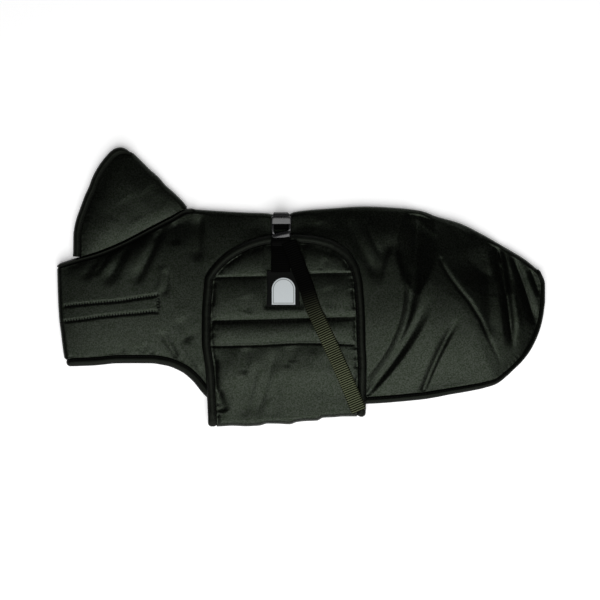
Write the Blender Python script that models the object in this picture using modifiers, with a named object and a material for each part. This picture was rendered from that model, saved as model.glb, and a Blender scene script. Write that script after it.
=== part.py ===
"""Padded dog raincoat, fastened, folded on its centre back and laid flat on its side.

X runs along the back, from the neck end (-) to the tail end (+). Y points up
the page, away from the belly. Z is up, and the coat rests on Z = 0. The far
half lies on the floor, the near half on it, and the belly flap on top.
"""

import math

import bmesh
import bpy
import numpy as np

MM = 0.001

# Heights of the layers above the floor, in millimetres.
FAR_INSIDE = 4.9
NEAR_INSIDE = 5.3
NEAR_EDGE = 9.2
NEAR_TOP = 9.8
FLAP_INSIDE = 10.2
FLAP_EDGE = 13.7
FLAP_TOP = 14.2

SEAM_GAP = 0.3
FOLD_REACH = 5.0
PIPING_WIDTH = 5.4
FLAP_TAPE_WIDTH = 9.2
COLLAR_TAPE_WIDTH = 8.6

WEBBING_WIDTH = 16.0
WEBBING_THICKNESS = 1.4
STRAP_X = -21.5
STRAP_END_Y = 12.0

LABEL_SIZE = (34.0, 38.0, 1.0)
LABEL_CENTRE = (-18.5, -4.6)

# The lower edge of each half, inside its tape: chest band, leg curve, hem.
FOOT_LINE = {
    "x": (-251.5, -227, -201, -166, -146, -125.5, -111.5, -99, -90, -60, 0, 74, 133, 167, 195),
    "y": (-79.7, -78.2, -75.7, -75.7, -78.5, -86.8, -98.5, -114, -122, -124.5, -125, -122.2,
          -117.2, -111.5, -106.5),
}

# The upper edge: the neckline up to x = -122, and then the fold along the back.
TOP_LINE = {
    "x": (-262, -247, -221, -194, -166, -141, -122, -97, -62, -37, -31, -12, -6, 35, 70, 105,
          131, 147.5, 173, 199.5, 225.5, 243, 259.5),
    "y": (18, 23, 30.5, 41.5, 56, 69, 78, 76.5, 74.5, 73.5, 72.5, 72.5, 75, 79, 81, 79.5, 76.5,
          70.5, 63, 50, 35, 24.5, 10.5),
}
NECK_END = -122.0

# The fold down the front of the chest, and the curve of the rear hem.
CHEST_LINE = {
    "y": (-79.7, -71, -53, -41, -16, 18),
    "x": (-251.5, -254, -256.5, -259, -260, -262),
}
REAR_LINE = {
    "y": (-106.5, -103, -94.5, -77.5, -58, -39.5, -17, 0, 10.5),
    "x": (195, 210.5, 222.5, 238.5, 252.5, 259, 262.5, 263, 259.5),
}

# One column of the body's net each: where it stands on the foot and top lines.
BODY_COLUMNS = {
    "foot": (-251.5, -239, -219, -197, -177, -159, -146, -135, -124, -113.5, -104.5, -97, -88,
             -60, -35, -30, -21.5, -13, -8, 10, 28, 46, 62, 76, 90, 104, 118, 132, 146, 158, 169,
             179, 187, 192, 195),
    "top": (-262, -248, -226, -203, -180, -158, -140, -122, -108, -94, -80, -66, -52, -42, -35,
            -30, -21.5, -13, -8, 10, 28, 46, 62, 78, 93, 109, 126, 144, 163, 182, 201, 219, 236,
            249, 259.5),
}
BODY_ROWS = (0, 0.045, 0.1, 0.16, 0.23, 0.3, 0.37, 0.44, 0.51, 0.58, 0.65, 0.72, 0.79, 0.86,
             0.92, 0.965, 1)

# How wide the tape round the body shows, by its place along that edge.
EDGE_TAPE = {
    "along": (0, 0.27, 0.34, 0.66, 0.75, 0.82, 1),
    "width": (9, 9, 7.5, 7.5, 6.5, 4.3, 4.3),
}

# The largest soft folds of the near half, each a trough or ridge on a segment.
BODY_FOLDS = {
    "x0": (130, 100, 142, 173, 216, 240, 208, -176, -150, 190, 158, -205, -152),
    "y0": (43, 30, -17, -57, 40, 22, 0, 28, 12, 20, 26, 10, -52),
    "x1": (129, 100, 84, 138, 232, 256, 208, -205, -150, 160, 224, -228, -138),
    "y1": (-6, -48, -112, -112, -50, -38, -44, 6, -12, 45, -92, -6, -74),
    "wide": (13, 9, 10, 10, 9, 8, 11, 9, 9, 14, 6, 8, 8),
    "high": (-4.2, 2.6, -3.2, -2.6, -3.2, -2.4, -2.4, -1.6, -1.2, 2.2, -1.8, -1.2, -1.2),
}

# The collar, folded on the line from its tip to the back of the neck.
COLLAR_FREE_EDGE = {
    "y": (31.8, 38, 53, 67.5, 85, 104, 122.5, 138.5),
    "x": (-241.2, -241, -240, -237.5, -231, -222.8, -212.8, -200.5),
}
COLLAR_FOLD = {
    "y": (85.5, 95, 102, 114.5, 129.5, 143),
    "x": (-127.5, -141, -149.5, -162.5, -177, -191.5),
}
COLLAR_COLUMNS = (-239, -225, -211, -197, -183, -169, -155, -141, -130.5)
COLLAR_ROWS = (0, 0.1, 0.22, 0.35, 0.48, 0.61, 0.74, 0.87, 1)

# The belly flap: its side edges inside the tape, and the arch over its top.
FLAP_SIDES = {
    "y": (-146, -94, -61, -28, -6),
    "left": (-92, -94.5, -98.5, -98.2, -96.4),
    "right": (62, 62.8, 61.3, 60.4, 58.6),
}
FLAP_ARCH = {
    "x": (-95.6, -91, -77, -61, -47, -32, -17, -6, 5, 28, 43.5, 54, 58),
    "y": (5, 12, 26, 35.5, 41, 44.2, 45.3, 45.3, 44.8, 40.3, 31.5, 17, 2),
}
FLAP_SPLIT_Y = -6.0
FLAP_ROWS_BELOW = (-6, -14, -22, -30, -36, -42, -51, -60, -65, -70, -80, -94, -110, -126)
FLAP_ROWS_ABOVE = 6
FLAP_RETURN_Y = -134.2
FLAP_COLUMNS = 21

# The quilted rolls of the flap, from one stitched line to the next.
FLAP_ROLLS = ((-150, -65), (-65, -36), (-36, 10), (10, 60))

# The row where the flap begins to turn under, which sags towards the neck end.
FLAP_TURN = {
    "x": (-110, -80, -55, -30, 0, 35, 60, 80),
    "y": (-145.5, -145.5, -144.5, -142.2, -141, -140.2, -138.6, -138.2),
}

# The buckle, across (x), along (y) and thick (z), before it is tilted.
BUCKLE_TILT = -6.0
HOUSING_SIZE = (22.0, 14.0, 6.2)
MOUTH_SIZE = (17.0, 10.0, 3.4)
BAR_SIZE = (20.0, 7.0, 4.6)
PRONG_SIZE = (2.6, 13.0, 2.4)
TONGUE_SIZE = (3.0, 12.0, 2.0)


def clear_scene():
    for obj in list(bpy.data.objects):
        bpy.data.objects.remove(obj, do_unlink=True)
    for held in list(bpy.data.collections):
        bpy.data.collections.remove(held)


def new_collection(name, hidden=False):
    held = bpy.data.collections.new(name)
    bpy.context.scene.collection.children.link(held)
    held.hide_render = hidden
    return held


def new_material(name, colour, roughness):
    made = bpy.data.materials.new(name)
    made.use_nodes = True
    shader = made.node_tree.nodes["Principled BSDF"]
    shader.inputs["Base Color"].default_value = (*colour, 1.0)
    shader.inputs["Roughness"].default_value = roughness
    made.diffuse_color = (*colour, 1.0)
    return made


# A smooth curve through a table's points that never swings past them.
def through(xs, ys, at):
    xs = np.asarray(xs, float)
    ys = np.asarray(ys, float)
    at = np.asarray(at, float)
    step = np.diff(xs)
    slope = np.diff(ys) / step
    tangent = np.empty(len(xs))
    tangent[0] = slope[0]
    tangent[-1] = slope[-1]
    level = slope[:-1] * slope[1:] <= 0
    near = 2 * step[1:] + step[:-1]
    far = step[1:] + 2 * step[:-1]
    safe = np.where(level, 1.0, slope[:-1])
    also = np.where(level, 1.0, slope[1:])
    tangent[1:-1] = np.where(level, 0.0, (near + far) / (near / safe + far / also))
    i = np.clip(np.searchsorted(xs, at) - 1, 0, len(step) - 1)
    t = (at - xs[i]) / step[i]
    start = ys[i] * (1 + 2 * t) * (1 - t) ** 2 + tangent[i] * step[i] * t * (1 - t) ** 2
    end = ys[i + 1] * t * t * (3 - 2 * t) - tangent[i + 1] * step[i] * t * t * (1 - t)
    return start + end


def rise(low, high, value):
    t = np.clip((np.asarray(value, float) - low) / (high - low), 0, 1)
    return t * t * (3 - 2 * t)


# Points along a curve given as y -> x, spaced evenly by length at the shares v.
def down_curve(table, v):
    y = np.linspace(table["y"][0], table["y"][-1], 400)
    x = through(table["y"], table["x"], y)
    run = np.concatenate([[0], np.cumsum(np.hypot(np.diff(x), np.diff(y)))])
    share = np.asarray(v) * run[-1]
    return np.stack([np.interp(share, run, x), np.interp(share, run, y)], axis=1)


# A net between four edge curves; the side curves' bulge dies away inwards.
def net_between(foot, top, left, right, v, fade):
    u = np.linspace(0, 1, len(foot))
    v = np.asarray(v)[:, None, None]
    net = foot[None] * (1 - v) + top[None] * v
    flat = v[:, :, 0]
    left_bulge = left - (left[0] * (1 - flat) + left[-1] * flat)
    right_bulge = right - (right[0] * (1 - flat) + right[-1] * flat)
    net = net + left_bulge[:, None] * ((1 - u) ** fade)[None, :, None]
    return net + right_bulge[:, None] * (u**fade)[None, :, None]


def unit(vectors):
    vectors = np.asarray(vectors, float)
    return vectors / np.linalg.norm(vectors, axis=-1, keepdims=True)


# Unit normals to the right of a line of points in the plane.
def right_of(points):
    tangent = unit(np.gradient(points, axis=0))
    return np.stack([tangent[:, 1], -tangent[:, 0]], axis=1)


def make_object(name, points, faces, material, home, flat=False):
    mesh = bpy.data.meshes.new(name)
    mesh.from_pydata((np.asarray(points, float) * MM).tolist(), [], faces)
    work = bmesh.new()
    work.from_mesh(mesh)
    bmesh.ops.recalc_face_normals(work, faces=work.faces)
    if work.calc_volume(signed=True) < 0:
        bmesh.ops.reverse_faces(work, faces=work.faces)
    work.to_mesh(mesh)
    work.free()
    for polygon in mesh.polygons:
        polygon.use_smooth = not flat
    mesh.materials.append(material)
    made = bpy.data.objects.new(name, mesh)
    home.objects.link(made)
    return made


# A wall folded double: four nets of points, joined over its folds and closed
# along its cut edges. rims[side] holds the outer points over that fold.
def folded_wall(name, sheets, top_rim, side_rim, fold_from, side, material, home):
    rows, columns = sheets[0].shape[:2]
    size = rows * columns
    points = [sheet.reshape(-1, 3) for sheet in sheets]
    faces = []

    def at(sheet, row, column):
        return sheet * size + row * columns + column

    for row in range(rows - 1):
        for column in range(columns - 1):
            for sheet in range(4):
                faces.append(
                    (
                        at(sheet, row, column),
                        at(sheet, row, column + 1),
                        at(sheet, row + 1, column + 1),
                        at(sheet, row + 1, column),
                    )
                )
    start = 4 * size
    offset = {}
    for key, rim in (("top", top_rim), ("side", side_rim)):
        if rim is None:
            continue
        offset[key] = start
        points.append(rim.reshape(-1, 3))
        start += rim.shape[0] * rim.shape[1]

    def close_wall(cells):
        for one, two in cells:
            faces.append((at(0, *one), at(0, *two), at(1, *two), at(1, *one)))
            faces.append((at(2, *one), at(2, *two), at(3, *two), at(3, *one)))

    def close_fold(key, rim, cells):
        steps = rim.shape[0]
        count = rim.shape[1]

        def over(step, index):
            return offset[key] + step * count + index

        for index, (one, two) in enumerate(zip(cells[:-1], cells[1:])):
            faces.append((at(0, *one), at(0, *two), over(0, index + 1), over(0, index)))
            for step in range(steps - 1):
                faces.append(
                    (
                        over(step, index),
                        over(step, index + 1),
                        over(step + 1, index + 1),
                        over(step + 1, index),
                    )
                )
            last = steps - 1
            faces.append((over(last, index), over(last, index + 1), at(3, *two), at(3, *one)))
            faces.append((at(1, *one), at(1, *two), at(2, *two), at(2, *one)))
        for index, cell in ((0, cells[0]), (count - 1, cells[-1])):
            middle = steps // 2
            ring = [at(0, *cell)] + [over(step, index) for step in range(steps)] + [at(3, *cell)]
            for k in range(middle + 1):
                faces.append((at(1, *cell), ring[k], ring[k + 1]))
            faces.append((at(1, *cell), ring[middle + 1], at(2, *cell)))
            for k in range(middle + 1, len(ring) - 1):
                faces.append((at(2, *cell), ring[k], ring[k + 1]))

    last_row = rows - 1
    last_column = columns - 1
    close_wall([((0, c), (0, c + 1)) for c in range(last_column)])
    if top_rim is None:
        close_wall([((last_row, c), (last_row, c + 1)) for c in range(last_column)])
    else:
        close_wall([((last_row, c), (last_row, c + 1)) for c in range(fold_from)])
        close_fold("top", top_rim, [(last_row, c) for c in range(fold_from, columns)])
    fold_column = 0 if side == "left" else last_column
    open_column = last_column - fold_column
    close_wall([((r, open_column), (r + 1, open_column)) for r in range(last_row)])
    close_fold("side", side_rim, [(r, fold_column) for r in range(rows)])
    return make_object(name, np.concatenate(points), faces, material, home)


# The rounded outside of a fold: from the near surface out, round and under.
def rim_points(edge, outward, height, reach):
    rows = []
    for angle in (45, 0, -45):
        c = math.cos(math.radians(angle))
        s = math.sin(math.radians(angle))
        plan = edge + outward * (reach * c)[:, None]
        rows.append(np.column_stack([plan, height / 2 * (1 + s)]))
    return np.array(rows)


# A wall with one outer and one inner net of the same shape, closed all round.
def open_wall(name, outer, inner, material, home):
    rows, columns = outer.shape[:2]
    size = rows * columns
    faces = []
    for base in (0, size):
        for r in range(rows - 1):
            for c in range(columns - 1):
                a = base + r * columns + c
                faces.append((a, a + 1, a + 1 + columns, a + columns))
    around = [c for c in range(columns)]
    around += [r * columns + columns - 1 for r in range(1, rows)]
    around += [(rows - 1) * columns + c for c in range(columns - 2, -1, -1)]
    around += [r * columns for r in range(rows - 2, 0, -1)]
    for one, two in zip(around, around[1:] + around[:1]):
        faces.append((one, two, two + size, one + size))
    points = np.concatenate([outer.reshape(-1, 3), inner.reshape(-1, 3)])
    return make_object(name, points, faces, material, home)


# A tape outside a wall's edge, from the edge's two lips moved outwards.
TAPE_SECTION = ((0, 1), (0.8, 1), (1, 0.76), (1, 0.24), (0.8, 0), (0, 0))


def tape(name, outer_lip, inner_lip, outward, width, closed, material, home):
    width = np.broadcast_to(width, (len(outer_lip),))
    rings = []
    for out, high in TAPE_SECTION:
        base = inner_lip + (outer_lip - inner_lip) * high
        rings.append(base + outward * (SEAM_GAP + out * width)[:, None])
    return loft(name, np.array(rings).transpose(1, 0, 2), closed, material, home)


def loft(name, rings, closed, material, home):
    count, corners = rings.shape[:2]
    faces = []
    for i in range(count if closed else count - 1):
        j = (i + 1) % count
        for k in range(corners):
            n = (k + 1) % corners
            faces.append(
                (i * corners + k, i * corners + n, j * corners + n, j * corners + k)
            )
    if not closed:
        faces.append(tuple(range(corners)))
        faces.append(tuple((count - 1) * corners + k for k in range(corners)))
    return make_object(name, rings.reshape(-1, 3), faces, material, home)


# The two lips of a double edge: along the near half, round the fold at the end
# of it, back along the far half and, when closed, round the other fold.
def double_lips(plan, outward, near, far, closed):
    plans = [plan]
    sides = [outward]
    outer = [np.full(len(plan), near[0])]
    inner = [np.full(len(plan), near[1])]
    middle = (near[1] + far[1]) / 2
    outer_radius = near[0] - middle
    inner_radius = near[1] - middle
    ends = [(plan[-1], unit(plan[-1] - plan[-2]), outward[-1], 1)]
    if closed:
        ends.append((plan[0], unit(plan[0] - plan[1]), outward[0], -1))
    outer_plans = [plan]
    inner_plans = [plan]
    for number, (point, away, side, turn) in enumerate(ends):
        wrap_outer, wrap_inner, wrap_o, wrap_i = [], [], [], []
        for angle in (50, 0, -50):
            c = math.cos(math.radians(angle))
            s = math.sin(math.radians(angle)) * turn
            wrap_outer.append(point + away * outer_radius * c)
            wrap_inner.append(point + away * inner_radius * c)
            wrap_o.append(middle + outer_radius * s)
            wrap_i.append(middle + inner_radius * s)
        outer_plans.append(np.array(wrap_outer))
        inner_plans.append(np.array(wrap_inner))
        outer.append(np.array(wrap_o))
        inner.append(np.array(wrap_i))
        sides.append(np.tile(side, (3, 1)))
        if number == 0:
            outer_plans.append(plan[::-1])
            inner_plans.append(plan[::-1])
            outer.append(np.full(len(plan), far[0]))
            inner.append(np.full(len(plan), far[1]))
            sides.append(outward[::-1])
    outer_lip = np.column_stack([np.concatenate(outer_plans), np.concatenate(outer)])
    inner_lip = np.column_stack([np.concatenate(inner_plans), np.concatenate(inner)])
    side = np.concatenate(sides)
    return outer_lip, inner_lip, np.column_stack([side, np.zeros(len(side))])


# How far a point lies inside the flap, 1 well inside and 0 well outside it.
def under_flap(x, y):
    across = rise(-128, -112, x) * (1 - rise(84, 100, x))
    corner = 60 * np.clip(1 - np.abs(np.abs(x + 17) - 90) / 60, 0, 1)
    return across * (1 - rise(64, 74, y + 0 * corner))


def body_height(x, y, edge):
    puff = 3.4 * rise(0, 34, edge) + 2.2 * rise(84, 190, x) * rise(0, 40, edge)
    folds = np.zeros_like(puff)
    for x0, y0, x1, y1, wide, high in zip(*BODY_FOLDS.values()):
        run = np.array([x1 - x0, y1 - y0], float)
        length = np.hypot(*run)
        t = ((x - x0) * run[0] + (y - y0) * run[1]) / length**2
        near = np.clip(t, 0, 1)
        away = np.hypot(x - x0 - run[0] * near, y - y0 - run[1] * near)
        folds += high * np.exp(-((away / wide) ** 2)) * rise(0, 14, edge)
    lift = np.clip(puff + folds, 0, 12)
    top = NEAR_EDGE + (NEAR_TOP - NEAR_EDGE) * rise(0, 10, edge)
    return top + lift * (1 - under_flap(x, y)) * (1 - strap_dent(x, y))


def strap_dent(x, y):
    return (1 - rise(11, 19, np.abs(x - STRAP_X))) * rise(40, 52, y)


# The columns of the table, with one more between each pair.
def body_columns():
    whole = np.arange(len(BODY_COLUMNS["foot"]))
    place = np.arange(0, whole[-1] + 0.5, 0.5)
    return [np.interp(place, whole, BODY_COLUMNS[key]) for key in ("foot", "top")]


def body_plan():
    foot_x, top_x = body_columns()
    foot = np.column_stack([foot_x, through(FOOT_LINE["x"], FOOT_LINE["y"], foot_x)])
    top = np.column_stack([top_x, through(TOP_LINE["x"], TOP_LINE["y"], top_x)])
    left = down_curve(CHEST_LINE, BODY_ROWS)
    right = down_curve(REAR_LINE, BODY_ROWS)
    return net_between(foot, top, left, right, BODY_ROWS, 5)


# Distance from each point to the nearest of some boundary points.
def distance_to(plan, points):
    gap = plan[:, :, None, :] - points[None, None]
    return np.sqrt((gap**2).sum(axis=3)).min(axis=2)


def fine(points):
    steps = np.linspace(0, len(points) - 1, 12 * len(points))
    index = np.arange(len(points))
    return np.column_stack([np.interp(steps, index, points[:, k]) for k in (0, 1)])


def make_body(cloth, home, cutters):
    plan = body_plan()
    fold_from = 2 * BODY_COLUMNS["top"].index(NECK_END)
    cut_edges = np.concatenate(
        [fine(plan[0]), fine(plan[:, -1]), fine(plan[-1, : fold_from + 1])]
    )
    folds = np.concatenate([fine(plan[:, 0]), fine(plan[-1, fold_from:])])
    edge = np.minimum(distance_to(plan, cut_edges), distance_to(plan, folds) + 4)
    near = body_height(plan[..., 0], plan[..., 1], edge)
    level = np.ones(plan.shape[:2])
    sheets = [
        np.dstack([plan, near]),
        np.dstack([plan, level * NEAR_INSIDE]),
        np.dstack([plan, level * FAR_INSIDE]),
        np.dstack([plan, level * 0]),
    ]
    top_edge = plan[-1, fold_from:]
    top_out = unit(plan[-1, fold_from:] - plan[-2, fold_from:])
    top_out[0] = unit(plan[-1, fold_from] - plan[-1, fold_from - 1])
    side_out = unit(plan[:, 0] - plan[:, 1])
    top_rim = rim_points(top_edge, top_out, near[-1, fold_from:], np.full(len(top_edge), FOLD_REACH))
    side_rim = rim_points(plan[:, 0], side_out, near[:, 0], np.full(len(plan), FOLD_REACH))
    body = folded_wall(
        "body_shell", sheets, top_rim, side_rim, fold_from, "left", cloth, home
    )
    # A shallow channel under the far half, where the girth strap lies.
    profile = (
        (78.6, 3.3),
        (76.7, 3.2),
        (74.4, 2.25),
        (70.5, 1.7),
        (STRAP_END_Y - SEAM_GAP, 1.7),
        (STRAP_END_Y - SEAM_GAP, -1.0),
        (78.6, -1.0),
    )
    half = WEBBING_WIDTH / 2 + SEAM_GAP
    rings = np.array([[(STRAP_X + s * half, y, z) for y, z in profile] for s in (-1, 1)])
    cutter = loft("strap_channel_cutter", rings, False, cloth, cutters)
    cutter.display_type = "WIRE"
    cutter.hide_render = True
    cut = body.modifiers.new("strap_channel", "BOOLEAN")
    cut.operation = "DIFFERENCE"
    cut.solver = "EXACT"
    cut.object = cutter
    return plan, near, fold_from


# One tape binds the leg curves, the hem and the rear edge of both halves.
def make_edge_tape(plan, binding, home):
    path = np.concatenate([plan[0], plan[1:, -1]])
    outward = right_of(path)
    outward[len(plan[0]) - 1] = unit(outward[len(plan[0]) - 2] + outward[len(plan[0])])
    run = np.concatenate([[0], np.cumsum(np.hypot(*np.diff(path, axis=0).T))])
    width = np.interp(run / run[-1], EDGE_TAPE["along"], EDGE_TAPE["width"])
    lips = double_lips(path, outward, (9.7, NEAR_INSIDE), (0.0, 4.4), True)
    width = np.concatenate([width, width[-1:].repeat(3), width[::-1], width[:1].repeat(3)])
    tape("edge_tape", *lips, width, True, binding, home)


# A corded seam joins collar and neckline, round the back and the chest.
def make_piping(plan, fold_from, binding, home):
    path = plan[-1, : fold_from + 1]
    outward = -right_of(path)
    lips = double_lips(path, outward, (10.1, NEAR_INSIDE), (0.0, 4.0), True)
    tape("neck_piping", *lips, PIPING_WIDTH, True, binding, home)


def collar_height(x, y, edge):
    return NEAR_EDGE + 3.0 * rise(0, 26, edge)


def make_collar(cloth, binding, home):
    base_x = np.array(COLLAR_COLUMNS, float)
    neck = np.column_stack([base_x, through(TOP_LINE["x"], TOP_LINE["y"], base_x)])
    ahead = through(TOP_LINE["x"], TOP_LINE["y"], base_x + 1)
    behind = through(TOP_LINE["x"], TOP_LINE["y"], base_x - 1)
    slope = (ahead - behind) / 2
    normal = unit(np.column_stack([-slope, np.ones(len(slope))]))
    foot = neck + normal * (PIPING_WIDTH + 2 * SEAM_GAP)
    left = down_curve(COLLAR_FREE_EDGE, COLLAR_ROWS)
    right = down_curve(COLLAR_FOLD, COLLAR_ROWS)
    left += (foot[0] - left[0]) * (1 - np.array(COLLAR_ROWS))[:, None]
    right += (foot[-1] - right[0]) * (1 - np.array(COLLAR_ROWS))[:, None]
    share = np.linspace(0, 1, len(base_x))[:, None]
    top = left[-1] * (1 - share) + right[-1] * share
    plan = net_between(foot, top, left, right, COLLAR_ROWS, 1)
    cut_edges = np.concatenate([fine(plan[0]), fine(plan[:, 0]), fine(plan[-1])])
    edge = np.minimum(distance_to(plan, cut_edges), distance_to(plan, fine(plan[:, -1])) + 4)
    near = collar_height(plan[..., 0], plan[..., 1], edge)
    level = np.ones(plan.shape[:2])
    sheets = [
        np.dstack([plan, near]),
        np.dstack([plan, level * NEAR_INSIDE]),
        np.dstack([plan, level * FAR_INSIDE]),
        np.dstack([plan, level * 0]),
    ]
    out = unit(plan[:, -1] - plan[:, -2])
    out[-1] = unit(top[-1] - top[0])
    out[-2] = unit(out[-1] + out[-3])
    rim = rim_points(plan[:, -1], out, near[:, -1], np.full(len(plan), FOLD_REACH))
    folded_wall("collar", sheets, None, rim, 0, "right", cloth, home)
    path = np.concatenate([plan[:, 0], plan[-1, 4::4]])
    outward = -right_of(path)
    corner = len(plan) - 1
    outward[corner] = unit(outward[corner - 1] + np.array([-0.2, 1.0]))
    outward[corner + 1 :] = unit(np.array([-0.35, 1.0]))
    lips = double_lips(path, outward, (9.7, NEAR_INSIDE), (0.0, 4.4), False)
    tape("collar_tape", *lips, COLLAR_TAPE_WIDTH, False, binding, home)


# Height of the flap's outside: quilted rolls between three stitched lines.
def flap_height(x, y, edge):
    rolls = np.zeros_like(x)
    for low, high in FLAP_ROLLS:
        middle = np.clip((y - low) / (high - low), 0, 1)
        rolls += np.sin(math.pi * middle) ** 0.7
    flat = rise(-64, -52, x) * (1 - rise(16, 28, x)) * rise(-44, -34, y)
    lift = 1.9 * rolls * rise(0, 16, edge) * (1 - flat)
    return FLAP_EDGE + (FLAP_TOP - FLAP_EDGE) * rise(0, 9, edge) + lift


def flap_plan():
    share = np.linspace(0, 1, FLAP_COLUMNS)
    arch_x = np.linspace(FLAP_ARCH["x"][0], FLAP_ARCH["x"][-1], 400)
    arch_y = through(FLAP_ARCH["x"], FLAP_ARCH["y"], arch_x)
    run = np.concatenate([[0], np.cumsum(np.hypot(np.diff(arch_x), np.diff(arch_y)))])
    even = share * run[-1]
    arch = np.column_stack([np.interp(even, run, arch_x), np.interp(even, run, arch_y)])
    rows = []
    split_left = through(FLAP_SIDES["y"], FLAP_SIDES["left"], FLAP_SPLIT_Y)
    split_right = through(FLAP_SIDES["y"], FLAP_SIDES["right"], FLAP_SPLIT_Y)
    split = np.column_stack(
        [split_left + (split_right - split_left) * share, np.full(FLAP_COLUMNS, FLAP_SPLIT_Y)]
    )
    for k in range(FLAP_ROWS_ABOVE):
        rows.append(arch + (split - arch) * k / FLAP_ROWS_ABOVE)
    for y in FLAP_ROWS_BELOW:
        left = through(FLAP_SIDES["y"], FLAP_SIDES["left"], y)
        right = through(FLAP_SIDES["y"], FLAP_SIDES["right"], y)
        rows.append(np.column_stack([left + (right - left) * share, np.full(FLAP_COLUMNS, y)]))
    turn_x = -92 + 154 * share
    rows.append(np.column_stack([turn_x, through(FLAP_TURN["x"], FLAP_TURN["y"], turn_x)]))
    return np.array(rows)


def make_flap(cloth, binding, home):
    plan = flap_plan()
    cut_edges = np.concatenate([fine(plan[0]), fine(plan[:, 0]), fine(plan[:, -1])])
    edge = distance_to(plan, cut_edges)
    top = flap_height(plan[..., 0], plan[..., 1], edge)
    level = np.ones(plan.shape[:2])
    outer = [*np.dstack([plan, top])]
    inner = [*np.dstack([plan, level * FLAP_INSIDE])]
    last = plan[-1]
    for angle in (50, 0, -50):
        c = math.cos(math.radians(angle))
        s = math.sin(math.radians(angle))
        high = top[-1] / 2 * (1 + s)
        outer.append(np.column_stack([last[:, 0], last[:, 1] - 8.0 * c, high]))
        middle = (FLAP_INSIDE + FAR_INSIDE) / 2
        half = (FLAP_INSIDE - FAR_INSIDE) / 2
        low = np.full(len(last), middle + half * s)
        inner.append(np.column_stack([last[:, 0], last[:, 1] - 3.4 * c, low]))
    for y in (last[:, 1], np.full(len(last), FLAP_RETURN_Y)):
        outer.append(np.column_stack([last[:, 0], y, 0 * y]))
        inner.append(np.column_stack([last[:, 0], y, 0 * y + FAR_INSIDE]))
    outer = np.array(outer)
    inner = np.array(inner)
    open_wall("belly_flap", outer, inner, cloth, home)
    ends = [(outer[:0:-1, 0], inner[:0:-1, 0]), (outer[0], inner[0]), (outer[1:, -1], inner[1:, -1])]
    outer_lip = np.concatenate([pair[0] for pair in ends])
    inner_lip = np.concatenate([pair[1] for pair in ends])
    below = len(outer) - len(plan)
    outward = np.zeros_like(outer_lip)
    outward[below : len(outward) - below, :2] = -right_of(outer_lip[below:-below, :2])
    outward[: below + 1] = (-1, 0, 0)
    outward[-below - 1 :] = (1, 0, 0)
    proud = outer_lip.copy()
    proud[below : len(proud) - below, 2] += 0.5
    tape("flap_tape", proud, inner_lip, outward, FLAP_TAPE_WIDTH, False, binding, home)


def ribbon(name, left, right, up, thickness, material, home):
    lift = np.asarray(up, float) * thickness
    rings = np.stack([left, right, right + lift, left + lift], axis=1)
    return loft(name, rings, False, material, home)


# The girth strap: round the back fold, then flush under the far half.
STRAP_LINE = {
    "y": (64, 68, 72.5, 75.5, 77.3, 77.85, 77.0, 74.8, 70.5, 50, 30, 12),
    "z": (10.1, 10.1, 10.1, 9.1, 7.1, 4.9, 3.0, 1.9, 1.4, 1.4, 1.4, 1.4),
}


def make_webbing(webbing, home):
    half = WEBBING_WIDTH / 2
    y = np.array(STRAP_LINE["y"], float)
    z = np.array(STRAP_LINE["z"], float)
    tangent = unit(np.gradient(np.column_stack([y, z]), axis=0))
    up = np.column_stack([0 * y, -tangent[:, 1], tangent[:, 0]])
    up[-4:] = (0, 0, -1)
    up[:3] = (0, 0, 1)
    left = np.column_stack([0 * y + STRAP_X - half, y, z])
    right = left + (2 * half, 0, 0)
    ribbon("girth_strap", left, right, up, WEBBING_THICKNESS, webbing, home)
    y = np.array((49.6, 45.5, 41, 30, 15.4))
    z = np.array((14.6, 14.55, 14.55, 14.5, 14.5))
    left = np.column_stack([0 * y + STRAP_X - half - 1.5, y, z])
    right = left + (2 * half, 0, 0)
    ribbon("flap_webbing", left, right, np.tile((0, 0, 1), (5, 1)), WEBBING_THICKNESS, webbing, home)


# The loose end of the strap: a straight ribbon down across the flap.
LOOSE_END = {
    "x": (-16.0, -10.4, -2.8, 6.3, 15.5, 25.0, 34.7, 43.6, 52.8, 62.0),
    "y": (46.0, 32.0, 14.0, -8.0, -30.0, -52.0, -74.0, -94.5, -115.0, -135.5),
    "z": (16.3, 16.2, 16.2, 16.3, 16.4, 16.4, 16.4, 16.4, 16.4, 16.3),
}


def make_loose_end(webbing, home):
    path = np.column_stack([LOOSE_END["x"], LOOSE_END["y"]]).astype(float)
    side = right_of(path)
    z = np.array(LOOSE_END["z"])[:, None]
    left = np.hstack([path - side * WEBBING_WIDTH / 2, z])
    right = np.hstack([path + side * WEBBING_WIDTH / 2, z])
    up = np.tile((0, 0, 1), (len(path), 1))
    ribbon("strap_loose_end", right, left, up, WEBBING_THICKNESS, webbing, home)


def box(name, size, centre, material, home, bevel=0.0, segments=2):
    work = bmesh.new()
    bmesh.ops.create_cube(work, size=1.0)
    bmesh.ops.scale(work, vec=[side * MM for side in size], verts=work.verts)
    bmesh.ops.translate(work, vec=[place * MM for place in centre], verts=work.verts)
    mesh = bpy.data.meshes.new(name)
    work.to_mesh(mesh)
    work.free()
    mesh.materials.append(material)
    made = bpy.data.objects.new(name, mesh)
    home.objects.link(made)
    if bevel:
        round_off = made.modifiers.new("round_off", "BEVEL")
        round_off.width = bevel * MM
        round_off.segments = segments
    return made


def combine(made, other, operation):
    step = made.modifiers.new(operation.lower(), "BOOLEAN")
    step.operation = operation
    step.solver = "EXACT"
    step.object = other
    other.hide_render = True
    other.display_type = "WIRE"


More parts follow.
